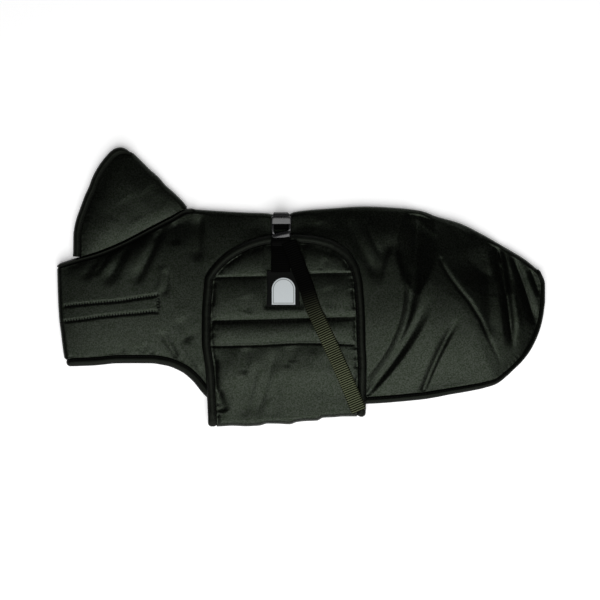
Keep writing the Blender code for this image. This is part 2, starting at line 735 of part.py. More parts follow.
# A side-release buckle, tilted to lie from the flap's tape down to the back.
def make_buckle(plastic, home, cutters):
    tilt = math.radians(BUCKLE_TILT)
    place = (STRAP_X * MM, 63.5 * MM, 15.9 * MM)
    housing = box("buckle_housing", HOUSING_SIZE, (0, 7.2, 0), plastic, home, 1.4, 2)
    mouth = box("housing_mouth_cutter", MOUTH_SIZE, (0, 4.5, 0), plastic, cutters)
    combine(housing, mouth, "DIFFERENCE")
    bar = box("buckle_bar", BAR_SIZE, (0, -10.3, -0.2), plastic, home, 1.2, 2)
    pieces = [housing, mouth, bar]
    for number, x in enumerate((-6.6, 6.6)):
        prong = box(f"prong_{number}_cutter", PRONG_SIZE, (x, -1.2, 0), plastic, cutters)
        combine(bar, prong, "UNION")
        pieces.append(prong)
    tongue = box("tongue_cutter", TONGUE_SIZE, (0, -2.0, 0), plastic, cutters)
    combine(bar, tongue, "UNION")
    pieces.append(tongue)
    for piece in pieces:
        piece.location = place
        piece.rotation_euler = (tilt, 0, 0)


def make_label(woven, home):
    centre = (*LABEL_CENTRE, 14.5 + LABEL_SIZE[2] / 2)
    box("label", LABEL_SIZE, centre, woven, home)


def main():
    clear_scene()
    coat = new_collection("dog_raincoat")
    cutters = new_collection("cutters", hidden=True)
    cloth = new_material("coated_cloth", (0.02, 0.02, 0.02), 0.6)
    binding = new_material("binding_tape", (0.012, 0.012, 0.012), 0.8)
    webbing = new_material("ribbed_webbing", (0.03, 0.03, 0.02), 0.55)
    plastic = new_material("buckle_plastic", (0.01, 0.01, 0.01), 0.2)
    woven = new_material("woven_label", (0.03, 0.03, 0.035), 0.7)
    plan, near, fold_from = make_body(cloth, coat, cutters)
    make_edge_tape(plan, binding, coat)
    make_piping(plan, fold_from, binding, coat)
    make_collar(cloth, binding, coat)
    make_flap(cloth, binding, coat)
    make_webbing(webbing, coat)
    make_loose_end(webbing, coat)
    make_buckle(plastic, coat, cutters)
    make_label(woven, coat)


main()
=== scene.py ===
import math

import bpy
import numpy as np
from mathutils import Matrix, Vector


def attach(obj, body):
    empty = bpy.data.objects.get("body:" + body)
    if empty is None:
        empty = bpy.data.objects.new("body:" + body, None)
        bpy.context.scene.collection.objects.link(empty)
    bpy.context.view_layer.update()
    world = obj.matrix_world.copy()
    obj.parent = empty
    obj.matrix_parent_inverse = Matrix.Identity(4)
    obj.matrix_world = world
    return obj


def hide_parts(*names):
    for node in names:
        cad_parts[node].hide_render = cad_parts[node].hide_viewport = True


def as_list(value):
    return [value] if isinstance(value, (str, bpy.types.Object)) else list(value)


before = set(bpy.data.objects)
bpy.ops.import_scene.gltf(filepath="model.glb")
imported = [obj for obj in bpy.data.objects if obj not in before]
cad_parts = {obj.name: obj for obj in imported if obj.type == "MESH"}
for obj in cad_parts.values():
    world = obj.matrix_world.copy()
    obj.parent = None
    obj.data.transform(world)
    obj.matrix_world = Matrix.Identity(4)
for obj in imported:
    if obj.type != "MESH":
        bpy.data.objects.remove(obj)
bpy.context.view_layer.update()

# A padded dog coat laid flat on its side. All shapes are worked out in millimetres: x along the
# back towards the tail, y up the page towards the back fold, z up from the floor.
mm = 0.001

view = {"centre": (-0.55, -17.05), "height": 1560.0, "widthSeen": 660.0, "focus": 6.0}
studio = {
    "key": (0.05, -1.14, 1.5), "keySize": (2.25, 2.45), "keyPower": 58.0,
    "fill": (0.7, 1.9, 0.9), "fillSize": (1.0, 1.0), "fillPower": 4.0,
    "sky": 0.02, "floorGlow": 0.3, "floorColour": (0.93, 0.93, 0.93, 1), "floorReach": 4.0, "floorZ": -0.0004,
}


def makeCamera():
    eye = bpy.data.cameras.new("camera")
    eye.lens = eye.sensor_width * (view["height"] - view["focus"]) / view["widthSeen"]
    eye.clip_start = 0.05
    placed = bpy.data.objects.new("camera", eye)
    placed.location = (view["centre"][0] * mm, view["centre"][1] * mm, view["height"] * mm)
    bpy.context.scene.collection.objects.link(placed)
    bpy.context.scene.camera = placed


def makeLamp(name, place, size, power, target=(0.0, -0.02, 0.0)):
    lamp = bpy.data.lights.new(name, "AREA")
    lamp.shape = "RECTANGLE"
    lamp.size, lamp.size_y = size
    lamp.energy = power
    placed = bpy.data.objects.new(name, lamp)
    placed.location = place
    aim = Vector(target) - Vector(place)
    placed.rotation_euler = aim.to_track_quat("-Z", "Y").to_euler()
    bpy.context.scene.collection.objects.link(placed)


class Value:  # wraps one socket, so that maths on it adds Math nodes
    def __init__(self, shop, socket):
        self.shop = shop
        self.socket = socket

    def __add__(self, other):
        return self.shop.maths("ADD", self, other)

    def __sub__(self, other):
        return self.shop.maths("SUBTRACT", self, other)

    def __rsub__(self, other):
        return self.shop.maths("SUBTRACT", other, self)

    def __mul__(self, other):
        return self.shop.maths("MULTIPLY", self, other)

    def __truediv__(self, other):
        return self.shop.maths("DIVIDE", self, other)

    def sine(self):
        return self.shop.maths("SINE", self)

    def size(self):
        return self.shop.maths("ABSOLUTE", self)

    def between(self, low, high):  # 0 below low, 1 above high, smooth between
        return self.shop.node("ShaderNodeMapRange", {"interpolation_type": "SMOOTHSTEP"},
                              {0: self, 1: low, 2: high, 3: 0.0, 4: 1.0})


class Shop:  # one material and its nodes; constants are set on the main shader's own sockets
    def __init__(self, name, constants):
        self.material = bpy.data.materials.new(name)
        self.material.use_nodes = True
        self.tree = self.material.node_tree
        self.shader = self.tree.nodes["Principled BSDF"]
        for key, value in constants.items():
            self.shader.inputs[key].default_value = value

    def put(self, socket, value):
        if isinstance(value, Value):
            self.tree.links.new(value.socket, socket)
        elif value is not None:
            socket.default_value = value

    def node(self, kind, settings=None, inputs=None, output=0):
        made = self.tree.nodes.new(kind)
        for key, value in (settings or {}).items():
            setattr(made, key, value)
        for key, value in (inputs or {}).items():
            self.put(made.inputs[key], value)
        return Value(self, made.outputs[output])

    def maths(self, operation, *values):
        return self.node("ShaderNodeMath", {"operation": operation}, dict(enumerate(values)))

    def mix(self, share, first, second):  # a colour between two colours
        return self.node("ShaderNodeMix", {"data_type": "RGBA"},
                         {0: share, 6: first, 7: second}, output=2)

    def noise(self, scale, detail=2.0, rough=0.5, place=None):
        where = place or self.node("ShaderNodeTexCoord", output=3)
        return self.node("ShaderNodeTexNoise", None,
                         {"Vector": where, "Scale": scale, "Detail": detail, "Roughness": rough})

    def axes(self, source):  # x, y and z of a vector
        split = self.tree.nodes.new("ShaderNodeSeparateXYZ")
        self.put(split.inputs[0], source)
        return [Value(self, out) for out in split.outputs]

    def finish(self, colour=None, rough=None, height=None, depth=0.0001, coat=None):
        self.put(self.shader.inputs["Base Color"], colour)
        self.put(self.shader.inputs["Roughness"], rough)
        self.put(self.shader.inputs["Coat Weight"], coat)
        if height is not None:
            bump = self.node("ShaderNodeBump", None,
                             {"Strength": 1.0, "Distance": depth, "Height": height})
            self.put(self.shader.inputs["Normal"], bump)
        return self.material


clothFinish = {
    "dark": (0.0002, 0.0002, 0.0002, 1), "light": (0.0007, 0.0007, 0.0006, 1),
    "yarn": 0.62, "depth": 0.00006, "rough": 0.33, "grain": 3.2,
    "shine": 0.15, "tint": (0.74, 1.0, 0.62, 1), "coatBend": 1.26, "coatRough": 0.39,
}


def paintCloth(name="coatedCloth"):
    shop = Shop(name, {"Specular IOR Level": clothFinish["shine"], "Specular Tint": clothFinish["tint"],
                       "Coat IOR": clothFinish["coatBend"], "Coat Roughness": clothFinish["coatRough"]})
    place = shop.node("ShaderNodeTexCoord", output=3)
    x, y = shop.axes(place)[:2]
    turns = 2 * math.pi / (clothFinish["yarn"] * mm)
    warp = (x * turns).sine()
    weft = (y * turns).sine()
    weave = warp * weft * 0.5 + 0.5  # plain weave: yarns rise and sink in turn
    cloudy = shop.noise(38.0, 4.0, 0.55, place)
    fibre = shop.noise(2600.0, 2.0, 0.6, place)
    grain = shop.noise(430.0, 1.0, 0.5, place)
    shade = cloudy * 0.55 + fibre * 0.3 + weave * 0.15
    colour = shop.mix(shade.between(0.25, 0.8), clothFinish["dark"], clothFinish["light"])
    rough = cloudy * 0.12 + fibre * 0.1 + (clothFinish["rough"] - 0.11)
    height = weave * 0.55 + fibre * 0.4 + grain * clothFinish["grain"]
    speck = (shop.noise(680.0, 2.0, 0.6, place) * 0.85 + weave * 0.15).between(0.38, 0.62)
    return shop.finish(colour, rough, height, clothFinish["depth"], speck)


tapeFinish = {
    "dark": (0.0003, 0.0003, 0.0003, 1), "light": (0.0012, 0.0012, 0.001, 1), "rough": 0.5,
    "yarn": 0.55, "depth": 0.00009, "shine": 0.13, "tint": (0.86, 1.0, 0.78, 1),
}


def paintTape(name="biasTape"):
    shop = Shop(name, {"Specular IOR Level": tapeFinish["shine"], "Specular Tint": tapeFinish["tint"]})
    place = shop.node("ShaderNodeTexCoord", output=3)
    x, y = shop.axes(place)[:2]
    turns = 2 * math.pi / (tapeFinish["yarn"] * mm)
    twill = ((x + y) * turns).sine() * 0.5 + 0.5
    fuzz = shop.noise(3000.0, 3.0, 0.65, place)
    cloudy = shop.noise(60.0, 3.0, 0.5, place)
    colour = shop.mix((fuzz * 0.6 + cloudy * 0.4).between(0.3, 0.75), tapeFinish["dark"],
                      tapeFinish["light"])
    rough = fuzz * 0.15 + (tapeFinish["rough"] - 0.07)
    return shop.finish(colour, rough, twill * 0.5 + fuzz * 0.6, tapeFinish["depth"])


# The dark colour and its own low shine are painted shade, used between the ribs and at the ribbon's start;
# each kind gives how bright its shine is and the millimetres over which that painted shade fades.
webFinish = {
    "dark": (0.0004, 0.0004, 0.0003, 1), "light": (0.003, 0.0029, 0.0017, 1), "rib": 2.45,
    "shine": 0.6, "shadeShine": 0.02, "tint": (0.88, 1.0, 0.56, 1), "depth": 0.00006,
    # the second kind is a shaded copy of the same webbing: painted shade over its whole length
    "lit": {"bright": 1.15, "shadeTo": (52, 118)}, "shadedCopy": {"bright": 0.1, "shadeTo": (300, 301)},
}


# Ribs across the ribbon, with painted shade between them: a near-black shader with almost no shine is mixed
# in there. Over the millimetres given along it, painted shade also covers the ribbon's start and fades out
# into the lit ribs.
def paintWebbing(name, kind):
    bright, shadeTo = webFinish[kind]["bright"], webFinish[kind]["shadeTo"]
    shop = Shop(name, {"Specular IOR Level": webFinish["shine"] * bright, "Specular Tint": webFinish["tint"],
                       "Base Color": webFinish["light"]})
    along = shop.axes(shop.node("ShaderNodeUVMap", {"uv_map": "ribbon"}))[1]
    ribs = (along * (2 * math.pi / (webFinish["rib"] * mm))).sine() * 0.5 + 0.5
    fuzz = shop.noise(2400.0, 3.0, 0.6)
    rough = 0.62 - ribs * 0.2 + fuzz * 0.08
    material = shop.finish(None, rough, fuzz, webFinish["depth"])
    # painted shade: a near-black, almost unreflecting shader for the rib valleys and the shaded start
    shadeShader = shop.node("ShaderNodeBsdfPrincipled", None, {
        "Base Color": webFinish["dark"], "Roughness": rough, "Specular IOR Level": webFinish["shadeShine"]})
    # share of the lit shader: the rib crests, once past the painted shade at the start
    lit = (ribs + fuzz * 0.2).between(0.3, 0.85) * (along / mm).between(*shadeTo)
    blend = shop.node("ShaderNodeMixShader", None, {0: lit, 1: shadeShader, 2: Value(shop, shop.shader.outputs[0])})
    shop.put(shop.tree.nodes["Material Output"].inputs[0], blend)
    return material


plasticFinish = {
    "dark": (0.008, 0.008, 0.009, 1), "light": (0.014, 0.014, 0.015, 1), "rough": 0.22, "shine": 0.6,
}


def paintPlastic(name="buckleMoulding"):
    shop = Shop(name, {"Specular IOR Level": plasticFinish["shine"]})
    scratch = shop.noise(900.0, 5.0, 0.6)
    broad = shop.noise(120.0, 2.0, 0.5)
    colour = shop.mix(broad, plasticFinish["dark"], plasticFinish["light"])
    return shop.finish(colour, scratch * 0.12 + plasticFinish["rough"], scratch, 0.00002)


threadFinish = {
    "dark": (0.0006, 0.0006, 0.0006, 1), "rough": 0.45,
    "sewn": {"shine": 0.12, "light": (0.002, 0.002, 0.002, 1)},
    # the sunken kind is the same near-black thread made darker and duller: painted shade for stitches lying
    # in the neck rows' grooves
    "sunken": {"shine": 0.03, "light": (0.0008, 0.0008, 0.0008, 1)},
}


def paintThread(name, kind):
    shop = Shop(name, {"Specular IOR Level": threadFinish[kind]["shine"]})
    fuzz = shop.noise(5200.0, 2.0, 0.6)
    colour = shop.mix(fuzz, threadFinish["dark"], threadFinish[kind]["light"])
    return shop.finish(colour, fuzz * 0.15 + threadFinish["rough"], fuzz, 0.00005)


labelFinish = {
    "ground": (0.0008, 0.001, 0.0008, 1), "fleck": (0.003, 0.0035, 0.003, 1), "sewn": (0.12, 0.13, 0.12, 1),
    "pale": (0.6, 0.64, 0.66, 1), "shade": (0.36, 0.39, 0.38, 1), "shine": 0.06, "yarn": 0.5,
    "centre": -18.5, "halfWidth": 12.6, "archY": -5.6, "footY": -22.0, "border": 1.5,
}


# A dark woven patch with a plain pale panel, round at its top, and a sewn line inside the panel.
def paintLabel(name="wovenPatch"):
    shop = Shop(name, {"Specular IOR Level": labelFinish["shine"]})
    place = shop.node("ShaderNodeTexCoord", output=3)
    x, y = shop.axes(place)[:2]
    px, py = x / mm - labelFinish["centre"], y / mm - labelFinish["archY"]
    fuzz = shop.noise(2500.0, 3.0, 0.6, place)
    threads = (y * (2 * math.pi / (labelFinish["yarn"] * mm))).sine() * 0.5 + 0.5
    above = shop.maths("MAXIMUM", py, 0.0)
    side = shop.maths("SQRT", px * px + above * above)
    low = y / mm - labelFinish["footY"]
    inward = shop.maths("MINIMUM", labelFinish["halfWidth"] - side, low)
    panel = inward.between(-0.4, 0.3)
    line = 1.0 - (inward - labelFinish["border"]).size().between(0.25, 0.6)
    ground = shop.mix(fuzz, labelFinish["ground"], labelFinish["fleck"])
    pale = shop.mix(fuzz * 0.3 + threads * 0.15, labelFinish["pale"], labelFinish["shade"])
    colour = shop.mix(panel, ground, shop.mix(line * 0.8, pale, labelFinish["sewn"]))
    return shop.finish(colour, 0.62 - panel * 0.15, threads * 0.5 + fuzz * 0.4, 0.0001)


def makeSky():
    world = bpy.data.worlds.new("paleSky")
    world.use_nodes = True
    world.node_tree.nodes["Background"].inputs[0].default_value = (1, 1, 1, 1)
    world.node_tree.nodes["Background"].inputs[1].default_value = studio["sky"]
    bpy.context.scene.world = world


def makeFloor():
    reach = studio["floorReach"]
    corners = [(-reach, -reach), (reach, -reach), (reach, reach), (-reach, reach)]
    mesh = bpy.data.meshes.new("floor")
    mesh.from_pydata([(x, y, studio["floorZ"]) for x, y in corners], [], [(0, 1, 2, 3)])
    mesh.materials.append(paintFloor())
    floor = bpy.data.objects.new("floor", mesh)
    bpy.context.scene.collection.objects.link(floor)


def paintFloor():
    return Shop("paleFloor", {
        "Roughness": 0.9, "Specular IOR Level": 0.1, "Base Color": studio["floorColour"],
        "Emission Color": (1, 1, 1, 1), "Emission Strength": studio["floorGlow"]}).material


def rise(low, high, value):  # 0 below low, 1 above high, an even S between
    t = np.clip((value - low) / (high - low), 0, 1)
    return t * t * (3 - 2 * t)


def through(xs, ys, at):  # a curve through a table's points that never swings past them
    xs, ys, at = (np.asarray(part, float) for part in (xs, ys, at))
    step = np.diff(xs)
    slope = np.diff(ys) / step
    turned = slope[:-1] * slope[1:] <= 0
    near = 2 * step[1:] + step[:-1]
    far = step[1:] + 2 * step[:-1]
    before = np.where(turned, 1.0, slope[:-1])
    after = np.where(turned, 1.0, slope[1:])
    middle = np.where(turned, 0.0, (near + far) / (near / before + far / after))
    tangent = np.concatenate([slope[:1], middle, slope[-1:]])
    i = np.clip(np.searchsorted(xs, at) - 1, 0, len(step) - 1)
    t = (at - xs[i]) / step[i]
    start = ys[i] * (1 + 2 * t) * (1 - t) ** 2 + tangent[i] * step[i] * t * (1 - t) ** 2
    return start + ys[i + 1] * t * t * (3 - 2 * t) - tangent[i + 1] * step[i] * t * t * (1 - t)


def cloudy(x, y, scale, seed):  # smooth noise from -1 to 1 on a lattice of random values
    lattice = np.random.RandomState(seed).uniform(-1, 1, (64, 64))
    u = x / scale + 17.3
    v = y / scale + 9.1
    i = np.floor(u).astype(int)
    j = np.floor(v).astype(int)
    s = u - i
    t = v - j
    s = s * s * (3 - 2 * s)
    t = t * t * (3 - 2 * t)
    pick = lambda a, b: lattice[(i + a) % 64, (j + b) % 64]
    low = pick(0, 0) * (1 - s) + pick(1, 0) * s
    high = pick(0, 1) * (1 - s) + pick(1, 1) * s
    return low * (1 - t) + high * t


def unit(vectors):
    return vectors / np.maximum(np.linalg.norm(vectors, axis=-1, keepdims=True), 1e-9)


def rightOf(points):  # unit normals to the right of a line of points in the plane
    tangent = unit(np.gradient(points, axis=0))
    return np.stack([tangent[:, 1], -tangent[:, 0]], axis=1)


def eased(directions, times):  # each averaged with its neighbours, the ends kept
    directions = directions.copy()
    for step in range(times):
        directions[1:-1] = unit(directions[:-2] + 2 * directions[1:-1] + directions[2:])
    return directions


def smoothed(values, times):
    values = values.copy()
    for step in range(times):
        values[1:-1] = (values[:-2] + 2 * values[1:-1] + values[2:]) / 4
    return values


def lengthAlong(points):
    return np.concatenate([[0], np.cumsum(np.linalg.norm(np.diff(points, axis=0), axis=1))])


def nearest(x, y, path):  # distance to a path, place along it, and the side (+ right)
    best = np.full(x.shape, 1e9)
    along = np.zeros(x.shape)
    side = np.ones(x.shape)
    run = lengthAlong(path)
    for start, end, gone in zip(path[:-1], path[1:], run):
        step = end - start
        long = max(np.hypot(*step), 1e-9)
        t = np.clip(((x - start[0]) * step[0] + (y - start[1]) * step[1]) / long**2, 0, 1)
        away = np.hypot(x - start[0] - t * step[0], y - start[1] - t * step[1])
        closer = away < best
        turn = (x - start[0]) * step[1] - (y - start[1]) * step[0]
        best = np.where(closer, away, best)
        along = np.where(closer, gone + t * long, along)
        side = np.where(closer, np.sign(turn), side)
    return best, along, side


def downCurve(table, v):  # points on a curve given as y to x, at even shares of its length
    y = np.linspace(table["y"][0], table["y"][-1], 600)
    x = through(table["y"], table["x"], y)
    run = lengthAlong(np.column_stack([x, y]))
    return np.column_stack([np.interp(v * run[-1], run, x), np.interp(v * run[-1], run, y)])


# A net: each point is the share v of the way from the foot line to the top line, moved by how far
# the left and right side curves bulge from straight, times a power of the distance from that side.
def netBetween(foot, top, left, right, v, fade):
    u = np.linspace(0, 1, len(foot))
    w = v[:, None, None]
    net = foot[None] * (1 - w) + top[None] * w
    flat = v[:, None]
    leftBulge = left - (left[0] * (1 - flat) + left[-1] * flat)
    rightBulge = right - (right[0] * (1 - flat) + right[-1] * flat)
    net = net + leftBulge[:, None] * ((1 - u) ** fade)[None, :, None]
    return net + rightBulge[:, None] * (u**fade)[None, :, None]


def evenly(points, spacing):  # the same line of points, respaced
    run = lengthAlong(points)
    share = np.linspace(0, run[-1], max(2, int(run[-1] / spacing) + 1))
    return np.column_stack([np.interp(share, run, column) for column in points.T])


made = {}


def makePiece(name, points, faces, material, replaces=(), uv=None):
    mesh = bpy.data.meshes.new(name)
    points = np.asarray(points, float)
    mesh.from_pydata((points * mm).tolist(), [], faces)
    mesh.update()
    if meshVolume(mesh) < 0:
        mesh.flip_normals()
    mesh.polygons.foreach_set("use_smooth", [True] * len(mesh.polygons))
    if uv is not None:
        layer = mesh.uv_layers.new(name="ribbon")
        corner = np.empty(len(mesh.loops), np.int32)
        mesh.loops.foreach_get("vertex_index", corner)
        layer.data.foreach_set("uv", (np.asarray(uv)[corner] * mm).ravel())
    mesh.materials.append(material)
    placed = bpy.data.objects.new(name, mesh)
    bpy.context.scene.collection.objects.link(placed)
    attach(placed, "root")
    if replaces:
        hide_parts(*replaces)
    made[name] = placed
    print(name, len(faces), "z", round(float(points[:, 2].min()), 2), round(float(points[:, 2].max()), 2))
    return placed


def meshVolume(mesh):
    mesh.calc_loop_triangles()
    points = np.empty(len(mesh.vertices) * 3)
    mesh.vertices.foreach_get("co", points)
    points = points.reshape(-1, 3)
    corners = np.empty(len(mesh.loop_triangles) * 3, np.int32)
    mesh.loop_triangles.foreach_get("vertices", corners)
    a, b, c = (points[corners.reshape(-1, 3)[:, k]] for k in range(3))
    return float((a * np.cross(b, c)).sum() / 6)


def gridFaces(rows, columns, start=0, closed=False):
    r = np.arange(rows - 1)[:, None]
    c = np.arange(columns if closed else columns - 1)[None]
    d = (c + 1) % columns
    quads = [start + r * columns + c, start + r * columns + d,
             start + (r + 1) * columns + d, start + (r + 1) * columns + c]
    return np.stack([np.broadcast_to(q, (rows - 1, c.shape[1])) for q in quads], 2).reshape(-1, 4).tolist()


def borderOf(rows, columns):  # the net's border, once round from the first corner
    return np.concatenate([
        np.arange(columns), np.arange(1, rows) * columns + columns - 1,
        (rows - 1) * columns + np.arange(columns - 2, -1, -1), np.arange(rows - 2, 0, -1) * columns])


# A padded half: a net of outer points, then loops round its border that roll over a fold or drop
# to the inside, and one flat face over the inside.
def paddedHalf(name, net, loops, material, replaces):
    rows, columns = net.shape[:2]
    border = borderOf(rows, columns)
    points = [net.reshape(-1, 3)] + loops
    faces = gridFaces(rows, columns)
    previous = border
    start = rows * columns
    for loop in loops:
        here = start + np.arange(len(loop))
        after = np.roll(here, -1)
        faces += np.stack([np.roll(previous, -1), previous, here, after], 1).tolist()
        previous = here
        start += len(loop)
    faces.append(previous[::-1].tolist())
    return makePiece(name, np.concatenate(points), faces, material, replaces)


# A section carried along a path: one ring of points for each place on the path, each joined to
# the next, with flat caps on the first and last, or the last joined to the first.
def carried(name, rings, material, replaces, closed=False, uv=None):
    count, corners = rings.shape[:2]
    faces = gridFaces(count, corners, closed=True)
    if closed:
        last = (count - 1) * corners
        k = np.arange(corners)
        d = (k + 1) % corners
        faces += np.stack([last + k, last + d, d, k], 1).tolist()
    else:
        faces.append(list(range(corners))[::-1])
        faces.append(list(range((count - 1) * corners, count * corners)))
    makePiece(name, rings.reshape(-1, 3), faces, material, replaces, uv)


# A half that rests on the floor: its outside is the net, its inside one flat face.
def flushHalf(name, plan, under, material, replaces):
    net = np.dstack([plan, under])
    ring = net.reshape(-1, 3)[borderOf(*plan.shape[:2])].copy()
    ring[:, 2] = level["farInside"]
    return paddedHalf(name, net, [ring], material, replaces)


bodyCut = {
    "footX": (-255, -227, -201, -166, -146, -125.5, -111.5, -99, -90, -60, 0, 74, 133, 167, 196),
    "footY": (-80.9, -79.8, -77.5, -77.4, -80, -88.3, -99.9, -115, -122.7, -125.2, -125.7, -123.6,
              -118.6, -113.2, -108.4),
    "topX": (-263, -247, -221, -194, -166, -141, -122, -97, -62, -37, -31, -12, -6, 35, 70, 105,
             131, 147.5, 173, 199.5, 225.5, 243, 260.5),
    "topY": (18, 23, 30.5, 41.5, 56, 69, 78, 76.5, 74.5, 73.5, 72.5, 72.5, 75, 79, 81, 79.5, 76.5,
             70.5, 63, 50, 35, 24.5, 10.5),
    "chest": {"y": (-80.9, -71, -53, -41, -16, 18), "x": (-255, -256.6, -258.8, -260.4, -262, -263)},
    "rear": {"y": (-108.4, -104.2, -98.6, -91.3, -82.9, -72.4, -56.2, -43.9, -27.4, -17, 0, 10.5),
             "x": (196, 212.8, 221.4, 230.2, 239, 247.3, 255.7, 260, 263.2, 264.3, 264.3, 260.5)},
    "columnFoot": (-255, -239, -219, -197, -177, -159, -146, -135, -124, -113.5, -104.5, -97,
                   -88, -60, -35, -30, -21.5, -13, -8, 10, 28, 46, 62, 76, 90, 104, 118, 132, 146,
                   158, 169, 179, 187, 192.5, 196),
    "columnTop": (-263, -248, -226, -203, -180, -158, -140, -122, -108, -94, -80, -66, -52, -42,
                  -35, -30, -21.5, -13, -8, 10, 28, 46, 62, 78, 93, 109, 126, 144, 163, 182, 201,
                  219, 236, 249, 260.5),
    "neckEnd": 7, "finePer": 11, "fineRows": 150, "farPer": 5, "farRows": 70,
}
level = {"farInside": 4.9, "nearInside": 5.3, "edge": 9.2, "foldReach": 5.0, "foldFoot": 0.15}

# Soft folds of the near half, each on a bent line from start through bend to end, with its widths
# left and right of travel and its height. A negative width is that side's crisp slope.
bodyFolds = {
    #         x0    y0    bx    by    x1    y1   left right high
    "folds": (
        (50, 74, 64, 42, 84, 6, 6, 6, -1.2),
        (64, 78, 78, 52, 90, 26, 4, 4, -0.7),
        (130, -8, 121, -60, 74, -116, 4, 4, 0.8),
        (206, 20, 206, -20, 208, -60, 8, 8, -1.8),
        (213, 57, 227, -4, 232, -72, 4, -11, -4.0),
        (222, 40, 233, -2, 241, -56, 4, 4, 1.0),
        (231, 36, 246, 0, 259, -48, 4, -9, -3.0),
        (251, 20, 258, 4, 263, -14, 3, -6, -1.8),
        (120, 79, 134, 69, 152, 52, 5.5, 5.5, 1.1),
        (162, 69, 176, 62, 188, 50, 5.5, 5.5, 1.1),
        (8, 82, 16, 75, 23, 66, 4, 4, 0.35),
        (52, 81, 62, 75, 71, 66, 5, 5, 0.35),
        (-72, 58, -5, 72, 52, 56, 9, 9, -0.8),
        (-139, 78, -138, 54, -137, 42, 5, 5, -1.1),
        (-109, 80, -113, 46, -113, 24, 5, 7, -1.5),
        (-150, 76, -128, 60, -104, 68, 13, 13, -1.0),
        (-150, 72, -166, 24, -184, -2, 5.5, 6.5, -1.7),
        (-182, 60, -198, 22, -216, -2, 5.5, 6.5, -1.6),
        (-214, 46, -226, 20, -240, 4, 5, 6, -1.1),
        (-200, 56, -213, 28, -226, 8, 3.5, 3.5, -0.8),
        (-152, 22, -150, 6, -155, -10, 4, 4, 0.6),
        (-150, 18, -143, 2, -151, -13, 3, 3, -0.8),
        (-155, -50, -147, -60, -134, -83, 3.5, 3.5, -1.3),
        (-173, -65, -168, -70, -161, -77, 2.5, 2.5, -0.8),
        (-180, -68, -176, -71, -172, -76, 2, 2, -0.7),
        (-200, -66, -196, -70, -193, -75, 2.2, 2.2, -0.6),
        (-128, -60, -118, -78, -108, -96, 5.5, 5.5, 1.0),
        (-134, -36, -126, -50, -120, -62, 7, 7, -0.8),
    ),
    # Hollows with a crisp upper edge: the bent edge line, the hollow's reach from it (left of travel
    # if negative), the soft reach beyond, its depth, the share of its reach left at the end and the
    # share of the line over which it starts.
    "hollows": (
        (90, -4, 100, 70, 109, 0, -6, 13, 1.6, 1, 0.3),
        (109, 26, 124, -50, 64, -110, -9, 8, 3.6, 0.8, 0.3),
        (148, -12, 133, -66, 64, -137, 8.5, 6, 2.3, 0.5, 0.3),
        (177, -38, 152, -74, 135, -130, 4.5, 4.5, 2.4, 0.9, 0.3),
        (158, 30, 184, -26, 240, -8, -22, 36, 4.6, 1, 0.5),
    ),
    "pocket": {"west": (123, 90, 85, 38, 128, -14), "east": (136, 90, 167, 38, 124, -16), "foot": -11.0,
               "slope": 0.36, "soft": 1.1},
    "crown": {"x": (-262, -190, -100, -20, 20, 60, 100, 150, 262),
              "high": (8, 7.5, 6.8, 8, 10, 13.5, 16.5, 24.5, 23),
              "reach": (42, 42, 42, 42, 42, 42, 46, 66, 66)},
    "crownReach": 42.0, "neckReach": 9.0, "deepFold": -2.5,
}
# The rump's sewn dart, and the neck's two sewn rows with the short one that joins them.
dart = {
    "points": ((152.5, 31), (155, 21), (163, 8), (172, -4), (185, -20), (193, -33), (198, -42),
               (205, -58), (214, -76), (222, -92)),
    "deep": 1.1, "wide": 1.9, "ridge": 0.25, "pucker": 9.0,
}
hookRows = {
    "upper": ((-261, -24), (-240, -21.7), (-220, -19.9), (-200, -18.4), (-180, -15.2), (-160, -12.2),
              (-153.5, -11.8)),
    "lower": ((-261, -40.8), (-240, -38.4), (-220, -35.3), (-200, -33.2), (-180, -31.6), (-161.5, -29.5),
              (-154, -31)),
    "end": ((-155.5, -13), (-156.3, -20), (-155.5, -29)),
    "deep": 1.0, "wide": 1.7, "pucker": 5.0,
}


# The near half's net: columns run from the hem's curve to the back's, both read from the cut.
def bodyNet(perColumn, rowCount):
    whole = np.arange(len(bodyCut["columnFoot"]))
    place = np.linspace(0, whole[-1], whole[-1] * perColumn + 1)
    footX = np.interp(place, whole, bodyCut["columnFoot"])
    topX = np.interp(place, whole, bodyCut["columnTop"])
    foot = np.column_stack([footX, through(bodyCut["footX"], bodyCut["footY"], footX)])
    top = np.column_stack([topX, through(bodyCut["topX"], bodyCut["topY"], topX)])
    share = np.linspace(0, 1, rowCount)
    v = share - 0.045 * np.sin(2 * math.pi * share)  # rows a little closer at both edges
    return netBetween(foot, top, downCurve(bodyCut["chest"], v), downCurve(bodyCut["rear"], v), v, 5)


def bent(row, count=14):  # the bent line of one fold, a parabola from start to end by way of bend
    t = np.linspace(0, 1, count)[:, None]
    a, b, c = (np.array(row[k:k + 2], float) for k in (0, 2, 4))
    return a * (1 - t) ** 2 + 2 * b * t * (1 - t) + c * t * t


# Soft folds: the height times a fade at both ends, times a bell of distance over width on a soft
# side, or times the power 1.4 of what is left of the width on a crisp one.
def foldHeight(x, y, table):
    total = np.zeros(x.shape)
    for number, row in enumerate(table):
        line = bent(row)
        left, right, high = row[6:9]
        reach = 3.4 * max(abs(left), abs(right))
        low = line.min(axis=0) - reach
        top = line.max(axis=0) + reach
        inside = (x > low[0]) & (x < top[0]) & (y > low[1]) & (y < top[1])
        if not inside.any():
            continue
        away, along, side = nearest(x[inside], y[inside], line)
        share = along / lengthAlong(line)[-1]
        ends = rise(-0.02, 0.26, share) * rise(1.02, 0.78, share)
        wide = np.where(side > 0, right, left)
        width = np.abs(wide) * (1 + 0.15 * np.sin(share * 5 + number * 1.7))
        shape = np.where(wide < 0, np.clip(1 - away / width, 0, 1) ** 1.4, np.exp(-((away / width) ** 1.8)))
        total[inside] += high * ends * shape
    return total


